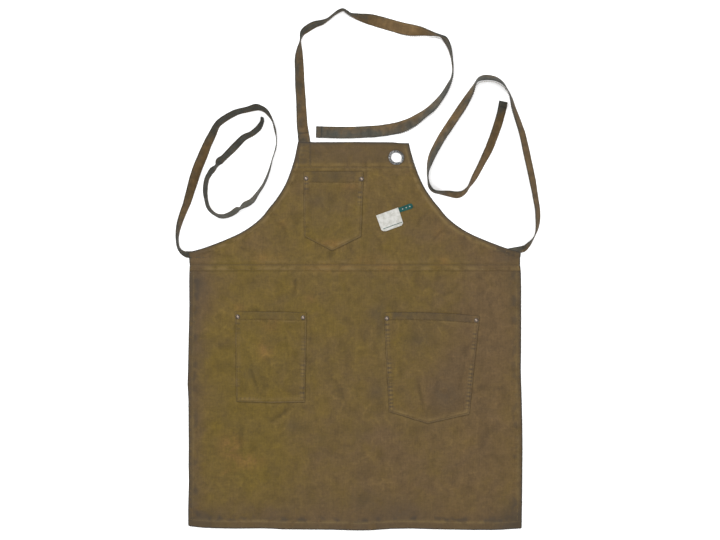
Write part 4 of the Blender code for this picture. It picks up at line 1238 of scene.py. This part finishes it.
# ------------------------------------------------------------------------ rows
def make_rows():
    """Sew the rows of the hems, the waist seam, the facing and the straps."""
    side = HALF_WIDTH - 0.0018
    neck_left, neck_right = NECK_ROOT_X - 0.0105, NECK_ROOT_X + 0.0105
    facing = [(np.interp(FACING_ROW_Y, edge[:, 1], edge[:, 0]) - sign * 0.0015, FACING_ROW_Y)
              for edge, sign in ((LEFT_EDGE, -1), (RIGHT_EDGE, 1))]
    rows = [("bottom_hem_stitching", "skirt", [(-side, BOTTOM_ROW_Y), (side, BOTTOM_ROW_Y)])]
    for label, sign in (("left", -1), ("right", 1)):
        x = sign * SIDE_ROW_X
        rows.append((f"{label}_side_stitching", "skirt", [(x, BOTTOM_ROW_Y + 0.002), (x, 0.134)]))
    for label, y in zip(("lower", "upper"), SEAM_ROWS):
        rows.append((f"waist_stitching_{label}", "seam", [(-side, y), (side, y)]))
    rows.append(("bib_facing_stitching", "bib", facing))
    for label, edge, sign in (("left", LEFT_EDGE, -1), ("right", RIGHT_EDGE, 1)):
        line = armhole_hem(edge, sign, FACING_ROW_Y - 0.001)[1]
        rows.append((f"{label}_armhole_stitching", "bib", line))
    rows.append(("neck_strap_stitching", "bib", [(neck_left, 0.3580), (neck_left, 0.3695),
                                                 (neck_right, 0.3695), (neck_right, 0.3580)]))
    for label, sign in (("left", -1), ("right", 1)):
        inner, outer = (sign * x for x in TIE_BOX_X)
        high = TIE_ROOT_Y[sign] - TIE_BOX_DROP
        low = high - TIE_BOX_HIGH
        rows.append((f"{label}_tie_stitching", "bib", [(outer, low), (inner, low), (inner, high),
                                                       (outer, high), (outer, low), (inner, high)]))
    for name, place, line in rows:
        front = skirt_front if place == "skirt" else bib_front
        sewn = stitches(f"{name}_rows", row_on(front, line))
        say(sewn, name, "skirt" if place == "seam" else place)


# -------------------------------------------------------------- eyelet, emblem
def make_grommet():
    """Make the rolled ring of the eyelet with its barrel, and the back washer."""
    outer, inner = GROMMET_RADIUS, 0.0105
    z = float(bib_front(circle(GROMMET, outer - 0.001, 16)).mean()) + 0.0001
    face = [(inner, 0.0006), (inner + 0.0006, 0.0004), (inner + 0.0006, z),
            (outer - 0.0002, z, 1), (outer, z + 0.0004, 1), (outer - 0.0002, z + 0.0008, 0.9),
            (outer - 0.0006, z + 0.0011, 0.5), (outer - 0.0010, z + 0.0010, 0.9),
            (outer - 0.0012, z + 0.0007, 1), (outer - 0.0015, z + 0.0007, 1),
            (outer - 0.0018, z + 0.0010, 1, 1), (outer - 0.0028, z + 0.0010, 1, 1),
            (outer - 0.0031, z + 0.0007, 1), (outer - 0.0038, z + 0.0008, 1),
            (outer - 0.0041, z + 0.0013, 0.4), (outer - 0.0045, z + 0.0017),
            (inner + 0.0006, z + 0.0012), (inner + 0.0001, z + 0.0002), (inner, z - 0.0008)]
    ring = turned("eyelet_ring", face, GROMMET, NICKEL, 208)
    say(ring, "grommet_face", "bib")
    washer = [(0.0116, 0.0002), (0.0128, 0.0000), (0.0142, 0.0001), (0.0155, 0.0003),
              (0.0155, 0.0005), (0.0142, 0.0006), (0.0116, 0.0005)]
    back = turned("eyelet_washer", washer, GROMMET, NICKEL, 96)
    say(back, "grommet_washer", "bib")


# Outline of the cleaver from its own centre, before it is tilted: blade, handle.
BLADE = ((-0.039, 0.015), (-0.039, -0.017), (-0.036, -0.021), (-0.030, -0.023),
         (0.004, -0.023), (0.009, -0.019), (0.010, 0.0035), (0.010, 0.015))
HANDLE = ((0.010, 0.0040), (0.014, 0.0040), (0.036, 0.0030), (0.040, 0.0050),
          (0.041, 0.0090), (0.039, 0.0135), (0.034, 0.0145), (0.014, 0.0140), (0.010, 0.0148))
EMBLEM_TILT = math.radians(20)
FLOSS_STEP = 0.00048        # distance between neighbouring threads of floss


def strands(name, lines, radius, mat, place):
    """Make short raised threads, each a line of (x, y, rise) points."""
    verts, faces = [], []
    profile = ((-1.0, 0.0), (-0.6, 0.75), (0.0, 1.0), (0.6, 0.75), (1.0, 0.0), (0.0, -0.3))
    for line in lines:
        line = np.asarray(line, float)
        faces += tube_faces(len(line), len(profile), len(verts))
        for point, (tx, ty) in zip(line, unit(np.gradient(line[:, :2], axis=0))):
            for a, b in profile:
                verts.append((point[0] - ty * a * radius, point[1] + tx * a * radius,
                              point[2] + b * radius))
    return mesh_object(name, place(np.array(verts)), [f[::-1] for f in faces], mat)


def make_emblem():
    """Embroider the cleaver: a backing, filled blade and handle, satin borders."""
    centre = np.array(cad_disc("emblem")[0])
    cos, sin = math.cos(EMBLEM_TILT), math.sin(EMBLEM_TILT)
    outline = np.array(BLADE[:-1] + HANDLE + BLADE[-1:])
    spun = np.column_stack([outline[:, 0] * cos - outline[:, 1] * sin,
                            outline[:, 0] * sin + outline[:, 1] * cos])
    centre -= (spun.min(0) + spun.max(0)) / 2
    ground = float(bib_front(centre + spun).mean())

    def place(verts):
        x = centre[0] + verts[:, 0] * cos - verts[:, 1] * sin
        y = centre[1] + verts[:, 0] * sin + verts[:, 1] * cos
        face = bib_front(np.column_stack([x, y]))
        return np.column_stack([x, y, verts[:, 2] + 0.7 * face + 0.3 * ground])

    def span(shape, x):
        """Lowest and highest y of a shape at x."""
        shape = np.array(shape)
        found = []
        for (x0, y0), (x1, y1) in zip(shape, np.roll(shape, -1, axis=0)):
            if min(x0, x1) <= x <= max(x0, x1) and x0 != x1:
                found.append(y0 + (y1 - y0) * (x - x0) / (x1 - x0))
        return min(found), max(found)

    def fill(shape, margin):
        """Rows of stitches across a shape, broken every few millimetres."""
        lines = []
        xs = [p[0] for p in shape]
        count = int((max(xs) - min(xs) - 2 * margin) / FLOSS_STEP)
        for row in range(count + 1):
            x = min(xs) + margin + row * FLOSS_STEP
            bottom, top = span(shape, x)
            if top - bottom < 2.2 * margin:
                continue
            ys = np.linspace(bottom + margin, top - margin,
                             max(3, int((top - bottom) / 0.0011)))
            phase = (ys + 0.0013 * (row % 3)) / 0.0042 % 1.0
            rise = 0.00062 - 0.00022 * np.exp(-((phase - 0.5) / 0.10) ** 2)
            lines.append(np.column_stack([np.full(len(ys), x), ys, rise]))
        return lines

    def border(shape, width):
        """Short stitches across a shape's edge."""
        loop = resample(shape, FLOSS_STEP, closed=True)
        normal = left_of(unit(np.roll(loop, -1, axis=0) - np.roll(loop, 1, axis=0)))
        return [[(*(point + out * width * t), 0.00050 + 0.00045 * (1 - (2 * t - 1) ** 2))
                 for t in (0.0, 0.25, 0.5, 0.75, 1.0)] for point, out in zip(loop, normal)]

    points, triangles, distance = flat_mesh(outline, 0.0022, (0.0003, 0.0008), edge_step=0.0015)
    count = len(points)
    top = place(np.column_stack([points, 0.00055 - edge_drop(distance, 0.0003)]))
    bottom = place(np.column_stack([points, np.full(count, 0.00005)]))
    backing = mesh_object("emblem_backing", np.concatenate([top, bottom]),
                          closed_faces(triangles, count), PATCH)
    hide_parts("emblem")
    pins = []
    for x in (0.018, 0.026, 0.034):
        for step in (-0.0008, -0.0004, 0.0, 0.0004, 0.0008):
            reach = math.sqrt(0.0011 ** 2 - step ** 2)
            pins.append([(x + step, 0.0088 + reach * t, 0.00095 + 0.0002 * (1 - t * t))
                         for t in (-1, -0.4, 0.4, 1)])
    bevel = [[(x, -0.0165 + dy, 0.00080 + 0.0001 * (1 - (dy / 0.0006) ** 2))
              for dy in (-0.0006, 0.0, 0.0006)] for x in np.arange(-0.035, 0.0075, 0.00045)]
    pieces = [backing]
    for label, lines, radius, floss in (
            ("blade", fill(BLADE, 0.0012), 0.00027, CREAM),
            ("blade_border", border(BLADE, 0.0017), 0.00027, CREAM),
            ("edge_line", bevel, 0.00024, TEAL),
            ("handle", fill(HANDLE, 0.0010), 0.00027, TEAL),
            ("handle_border", border(HANDLE, 0.0014), 0.00027, TEAL),
            ("pins", pins, 0.00022, CREAM)):
        pieces.append(strands(f"emblem_{label}", lines, radius, floss, place))
    for piece in pieces:
        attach(piece, "bib")


# ----------------------------------------------------------------------- straps
NECK_ROUTE = (
    (-0.1065, 0.4074, 0), (-0.1085, 0.4235, 20), (-0.1108, 0.442, 26), (-0.1122, 0.470, 34),
    (-0.1136, 0.498, 37), (-0.1155, 0.526, 39), (-0.1164, 0.554, 42), (-0.1174, 0.5775, 46),
    (-0.1164, 0.596, 62), (-0.1150, 0.610, 80), (-0.1140, 0.6204, 88), (-0.1099, 0.6335, 69),
    (-0.099, 0.6428, 59), (-0.085, 0.6508, 62), (-0.0688, 0.6554, 71), (-0.057, 0.6615, 82),
    (-0.0455, 0.6708, 85), (-0.035, 0.678, 82), (-0.0254, 0.682, 85), (-0.0175, 0.6778, 82),
    (-0.009, 0.6718, 80), (0.0012, 0.6685, 69), (0.0152, 0.665, 50), (0.0338, 0.6615, 28),
    (0.0525, 0.6568, 12), (0.0758, 0.6503, 5), (0.0992, 0.6438, 6), (0.1178, 0.640, 18),
    (0.1365, 0.6372, 43), (0.1528, 0.6335, 64), (0.169, 0.6298, 82), (0.1794, 0.627, 84),
    (0.1888, 0.6204, 70), (0.1958, 0.6078, 72), (0.2009, 0.5915, 80), (0.204, 0.5728, 87),
    (0.205, 0.5565, 89), (0.2028, 0.5402, 83), (0.196, 0.5238, 72), (0.187, 0.5075, 66),
    (0.1748, 0.491, 59), (0.1599, 0.4748, 52), (0.141, 0.4608, 45), (0.120, 0.4468, 28),
    (0.099, 0.4375, 12), (0.0758, 0.432, 8), (0.0478, 0.428, 5), (0.0198, 0.4263, 5),
    (-0.008, 0.425, 5), (-0.036, 0.425, 5), (-0.064, 0.4258, 5), (-0.082, 0.4263, 5),
)
LEFT_TIE_ROUTE = (
    (-0.3504, 0.1690, 0), (-0.3570, 0.1705, 45), (-0.3640, 0.1750, 70), (-0.3695, 0.1830, 80),
    (-0.3720, 0.1950, 82), (-0.3720, 0.2120, 77), (-0.3675, 0.2350, 67), (-0.3595, 0.2580, 60),
    (-0.3528, 0.275, 56), (-0.3465, 0.296, 50), (-0.3381, 0.3255, 42), (-0.3297, 0.3507, 40),
    (-0.3192, 0.3759, 41), (-0.3087, 0.401, 48), (-0.2982, 0.422, 53), (-0.2898, 0.439, 62),
    (-0.2793, 0.4494, 60), (-0.2625, 0.460, 62), (-0.2457, 0.468, 66), (-0.2247, 0.473, 66),
    (-0.2079, 0.4775, 60), (-0.1974, 0.476, 68), (-0.187, 0.4704, 72), (-0.1785, 0.460, 78),
    (-0.172, 0.447, 85), (-0.167, 0.4284, 82), (-0.1646, 0.4137, 88), (-0.166, 0.3927, 87),
    (-0.1735, 0.3675, 85), (-0.1806, 0.342, 80), (-0.191, 0.317, 76), (-0.2037, 0.298, 72),
    (-0.2163, 0.2814, 60), (-0.231, 0.273, 58), (-0.2406, 0.2658, 76), (-0.2478, 0.2625, 60),
    (-0.2604, 0.254, 62), (-0.2772, 0.249, 68), (-0.294, 0.254, 77), (-0.3066, 0.2667, 76),
    (-0.312, 0.2856, 75), (-0.3137, 0.3045, 73), (-0.3108, 0.3255, 71), (-0.3045, 0.338, 70),
    (-0.2982, 0.3465, 66), (-0.2898, 0.355, 78), (-0.2843, 0.364, 56), (-0.275, 0.3717, 62),
    (-0.2625, 0.384, 58), (-0.2478, 0.399, 58), (-0.233, 0.4137, 62), (-0.2163, 0.422, 66),
    (-0.2025, 0.4335, 66), (-0.1950, 0.4465, 76), (-0.1942, 0.4570, 80),
)
RIGHT_TIE_ROUTE = (
    (0.3504, 0.1800, 0), (0.3570, 0.1830, 40), (0.3640, 0.1900, 62), (0.3715, 0.1995, 80),
    (0.3770, 0.2100, 86), (0.3808, 0.2220, 76), (0.3830, 0.2400, 64), (0.3825, 0.2625, 61),
    (0.3788, 0.2853, 59), (0.3742, 0.3127, 55), (0.3688, 0.340, 53), (0.3628, 0.3675, 52),
    (0.3569, 0.3949, 53), (0.3505, 0.4223, 55), (0.3432, 0.445, 60), (0.3368, 0.4634, 63),
    (0.3315, 0.4794, 67), (0.3275, 0.4953, 75), (0.3235, 0.5067, 81), (0.3186, 0.5159, 85),
    (0.3103, 0.5273, 77), (0.2989, 0.5355, 68), (0.2875, 0.539, 63), (0.2738, 0.540, 61),
    (0.2624, 0.5373, 66), (0.2546, 0.531, 79), (0.250, 0.5236, 79), (0.244, 0.5113, 66),
    (0.235, 0.4953, 54), (0.2236, 0.477, 48), (0.2099, 0.4565, 46), (0.1962, 0.436, 46),
    (0.1825, 0.4154, 48), (0.171, 0.3949, 50), (0.162, 0.3766, 56), (0.156, 0.3584, 67),
    (0.1528, 0.3424, 83), (0.1528, 0.3287, 87), (0.156, 0.3127, 80), (0.1643, 0.3023, 78),
    (0.178, 0.299, 75), (0.196, 0.2967, 63), (0.2145, 0.2940, 57), (0.228, 0.299, 68),
    (0.238, 0.3104, 78), (0.2464, 0.324, 66), (0.2578, 0.3447, 58), (0.2693, 0.3675, 53),
    (0.2807, 0.3903, 47), (0.2905, 0.4154, 45), (0.2992, 0.4405, 44), (0.3062, 0.4650, 43),
    (0.3095, 0.4800, 42), (0.3110, 0.4900, 42),
)
ROOT_BOTTOM = 0.0016
STRAP_STEPS = 9             # steps between two points of a route
STRAP_PITCH = 0.0040        # of the stitches along the straps
ROW_SHARE = 0.76            # where the sewn rows lie, as a share of half the width

# The strap's section, as (across, out) shares of its half width and half
# thickness: rounded edges, and a groove under each of the two sewn rows.
SECTION_SIDE = ((0.985, 0.62), (0.950, 0.92), (0.900, 1.0), (0.800, 1.0), (0.760, 0.72),
                (0.720, 1.0), (0.400, 1.06), (0.0, 1.0), (-0.400, 1.06), (-0.720, 1.0),
                (-0.760, 0.72), (-0.800, 1.0), (-0.900, 1.0), (-0.950, 0.92), (-0.985, 0.62))
SECTION = ((1.0, 0.0),) + SECTION_SIDE + ((-1.0, 0.0),) \
    + tuple((a, -b) for a, b in SECTION_SIDE[::-1])


# How slate (-1) or brown (1) each strap looks, paler above 1: (metres along it, tone).
# Partly the cloth's own colour, partly painted shade, slate mostly where it stands on edge.
STRAP_TONE_AND_SHADE = {
    "neck_strap": ((0.0, -0.2), (0.02, 0.45), (0.20, 0.25), (0.22, -0.6), (0.29, -0.7),
                   (0.33, -0.9), (0.36, 0.1), (0.40, 0.9), (0.44, 1.3), (0.50, 1.6), (0.53, 0.2),
                   (0.55, -0.9), (0.68, -0.8), (0.72, -0.2), (0.80, 0.0), (0.85, -0.45),
                   (0.97, -0.60)),
    "left_tie": ((0.0, -0.9), (0.05, -0.4), (0.09, 0.7), (0.24, 0.8), (0.28, -0.5),
                 (0.33, -0.9), (0.60, -1.0), (0.97, -0.8)),
    "right_tie": ((0.0, -0.4), (0.04, 0.2), (0.08, 0.8), (0.25, 1.0), (0.30, 0.50), (0.34, -0.7),
                  (0.43, -0.9), (0.46, 0.1), (0.54, 0.7), (0.58, 0.0), (0.62, -0.4), (0.64, -1.0),
                  (0.68, -0.7), (0.70, -0.1), (0.76, 1.1), (0.80, 1.5), (0.93, 1.0), (0.950, -0.6),
                  (0.97, -0.9)),
}


def strap_frames(route, first_direction, first_width, seed):
    """Centre, direction, across, normal, width and distance along a strap, in rows."""
    curve = np.array([tuple(p) for p in catmull_rom(route, STRAP_STEPS)])
    xy, roll = curve[:, :2], np.radians(curve[:, 2])
    along = unit(np.gradient(xy, axis=0))
    along[0] = first_direction
    walked = walk(xy)
    free = smooth(walked / 0.05)
    roll = roll + free * np.radians(3.0) * noise(walked, 0 * walked + 0.3, 0.030, seed, 2)
    lift = ROOT_BOTTOM * (1 - smooth(walked / 0.030))
    width = first_width + (STRAP_WIDTH - first_width) * smooth(walked / TIE_TAPER)
    z = (width * np.abs(np.sin(roll)) + STRAP_THICKNESS * np.abs(np.cos(roll))) / 2 + lift
    centre = np.column_stack([xy, z + 0.0003 * free])
    flat = np.zeros(len(along))
    level = np.column_stack([left_of(along), flat])
    along = np.column_stack([along, flat])
    across = level * np.cos(roll)[:, None] + np.outer(np.sin(roll), (0, 0, 1))
    return centre, along, across, np.cross(along, across), width, walked


def ribbon(name, strap, frames, seed, whole_end=True):
    """Sweep the strap's section along its frames, with a turned end."""
    centre, _, across, normal, width, walked = frames
    count = len(centre)
    end = walked[-1] - walked
    thick = STRAP_THICKNESS / 2 * (1 + 0.10 * noise(walked, 0 * walked, 0.02, seed + 1, 2))
    if whole_end:
        thick = thick * (1 + 0.55 * smooth((0.011 - end) / 0.0012))
        thick = thick * (1 - 0.55 * smooth((0.0012 - end) / 0.0012))
    wide = width / 2 * (1 + 0.020 * noise(walked, 0 * walked + 9, 0.016, seed + 2, 2))
    pleat = smooth((STRAP_WIDTH - width) / 0.010)
    folds = bump(walked - 0.0165, 0.0012) * (strap == "neck_strap")
    thick = thick * (1 + 0.25 * pleat) * (1 - 0.30 * folds)
    cup = 0.0005 * noise(walked, 0 * walked + 4, 0.06, seed + 3)
    a, b = np.array(SECTION).T
    size = len(SECTION)
    wave = np.stack([noise(walked, walked * 0 + 7 + 0.0035 * abs(k - 7.5), 0.011, seed + 5, 2)
                     for k in range(size)], 1)
    out = thick[:, None] * b + cup[:, None] * (1 - a ** 2) + 0.00030 * wave * (1 - a ** 4)
    verts = centre[:, None] + across[:, None] * (wide[:, None] * a)[..., None] \
        + normal[:, None] * out[..., None]
    flat = np.zeros((count, size))
    # Painted shade: dark along the rounded edges, in the neck strap's crease, and over the turned
    # end and the fold that makes it.
    last = smooth((0.0016 - end) / 0.0010) + bump(end - 0.0115, 0.0012)
    edge = flat + smooth((np.abs(a) - 0.86) / 0.12) + (0.8 * folds + last * whole_end)[:, None]
    tone = flat + np.interp(walked, *zip(*STRAP_TONE_AND_SHADE[strap]))[:, None]
    # ridge follows the ripples' height, for painted highlight on them and painted shade between;
    # side runs across the strap, for painted shade towards one edge.
    marks = {"edge": np.clip(edge, 0, 1), "row": flat + bump(np.abs(a) - ROW_SHARE, 0.05),
             "side": flat - a, "tone": tone, "ridge": 2.2 * wave}
    obj = mesh_object(name, verts.reshape(-1, 3), tube_faces(count, size, clockwise=True), STRAP,
                      attributes={key: value.ravel() for key, value in marks.items()},
                      lying=False)
    obj.data.set_sharp_from_angle(angle=math.radians(60))
    return obj, thick


def strap_row(name, strap, frames, thick):
    """Sew the stitches of a strap's two rows, on both of its faces."""
    centre, along, across, normal, width, _ = frames
    run = walk(centre)
    at = np.arange(0.002, run[-1] - 0.003, STRAP_PITCH)

    def read(values):
        return np.stack([np.interp(at, run, values[:, k]) for k in range(3)], 1)

    middle, way, aside, face = (read(values) for values in (centre, along, across, normal))
    half_wide = np.interp(at, run, width)[:, None] / 2
    half_thick = np.interp(at, run, thick)[:, None]
    sides = [(edge, out) for edge in (-ROW_SHARE, ROW_SHARE) for out in (-1, 1)]
    spots = [middle + aside * edge * half_wide + face * out * half_thick * 0.80
             for edge, out in sides]
    row = (np.concatenate(spots), np.tile(way, (len(sides), 1)),
           np.concatenate([face * out for _, out in sides]))
    piece = stitches(f"{strap}_edge_rows_{name}", row, STRAP_PITCH, 0.00028, 4)
    return piece


def make_strap(name, route, first_direction, first_width, root, seed):
    """Make a strap: the sewn end with its first bend, and the free length.

    root is where the sewn end begins and ends behind the cloth.
    """
    frames = strap_frames(route, first_direction, first_width, seed)
    _, along, across, normal, _, walked = frames
    root_low, root_high = (np.array((x, y, ROOT_BOTTOM + STRAP_THICKNESS / 2)) for x, y in root)
    steps = max(2, int(np.linalg.norm(root_high - root_low) / 0.004))
    share = np.linspace(0, 1, steps, endpoint=False)[:, None]
    level = root_low + (root_high - root_low) * share
    before = [level, *(np.tile(values[0], (steps, 1)) for values in (along, across, normal)),
              np.full(steps, first_width), -np.linalg.norm(root_high - level, axis=1)]
    first = walked <= HINGE_RUN
    last = int(np.flatnonzero(first)[-1])
    sewn_in = [np.concatenate([a, b[first]]) for a, b in zip(before, frames)]
    head, _ = ribbon(f"{name}_sewn_end", name, sewn_in, seed, whole_end=False)
    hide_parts(f"{name}_root")
    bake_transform(head)
    rest = [values[last:] for values in frames]
    free, thick = ribbon(f"{name}_strap", name, rest, seed)
    say(free, name, name)
    sewn = strap_row("free", name, rest, thick)
    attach(sewn, name)
    start = [values[3:last + 1] for values in frames]
    bent = strap_row("start", name, start, np.full(len(start[0]), thick[0]))
    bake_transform(bent)


# ------------------------------------------------------------------------- main
make_skirt()
make_bib()
for pocket_name, body_name, ground_front in (("bib_pocket", "bib", bib_front),
                                             ("left_pocket", "skirt", skirt_front),
                                             ("right_pocket", "skirt", skirt_front)):
    make_pocket(pocket_name, body_name, ground_front)
make_rows()
make_grommet()
make_emblem()
left_y, right_y = TIE_ROOT_Y[-1], TIE_ROOT_Y[1]
make_strap("neck_strap", NECK_ROUTE, (0, 1), STRAP_WIDTH,
           ((NECK_ROOT_X, 0.3562), (NECK_ROOT_X, 0.4068)),
           501)
make_strap("left_tie", LEFT_TIE_ROUTE, (-1, 0), TIE_ROOT_WIDTH,
           ((-0.3165, left_y), (-0.3495, left_y)),
           601)
make_strap("right_tie", RIGHT_TIE_ROUTE, (1, 0), TIE_ROOT_WIDTH,
           ((0.3165, right_y - 0.0060), (0.3495, right_y)),
           701)

# ------------------------------------------------------------- floor and lights
corners = [(x, y, -0.0002) for x, y in ((-9, -9), (9, -9), (9, 9), (-9, 9))]
floor = mesh_object("studio_floor", corners, [(0, 1, 2, 3)], floor_material(), False, lying=False)


def soft_light(name, place, target, size, power):
    """Add a square area light aimed at a point."""
    data = bpy.data.lights.new(name, "AREA")
    data.size = size
    data.energy = power
    lamp = bpy.data.objects.new(name, data)
    lamp.location = place
    lamp.rotation_euler = (Vector(target) - Vector(place)).to_track_quat("-Z", "Y").to_euler()
    bpy.context.scene.collection.objects.link(lamp)


soft_light("top_light", (0.5, -0.1, 3.6), (0, 0.1, 0), 3.6, 112.0)
soft_light("key_light", (-1.9, 2.3, 1.8), (0, 0.1, 0), 0.9, 92.0)

world = bpy.data.worlds.new("studio")
world.use_nodes = True
world.node_tree.nodes["Background"].inputs["Color"].default_value = (1.0, 1.0, 1.0, 1.0)
world.node_tree.nodes["Background"].inputs["Strength"].default_value = 0.92
scene = bpy.context.scene
scene.world = world
scene.view_settings.view_transform = "Standard"

VIEW_CENTRE = (0.0105, 0.1365)
VIEW_WIDTH = 1.512
CAMERA_HEIGHT = 5.0
lens = bpy.data.cameras.new("camera")
lens.sensor_width = 36.0
lens.lens = 36.0 * CAMERA_HEIGHT / VIEW_WIDTH
lens.clip_end = 50.0
camera = bpy.data.objects.new("camera", lens)
camera.location = (*VIEW_CENTRE, CAMERA_HEIGHT)
scene.collection.objects.link(camera)
scene.camera = camera
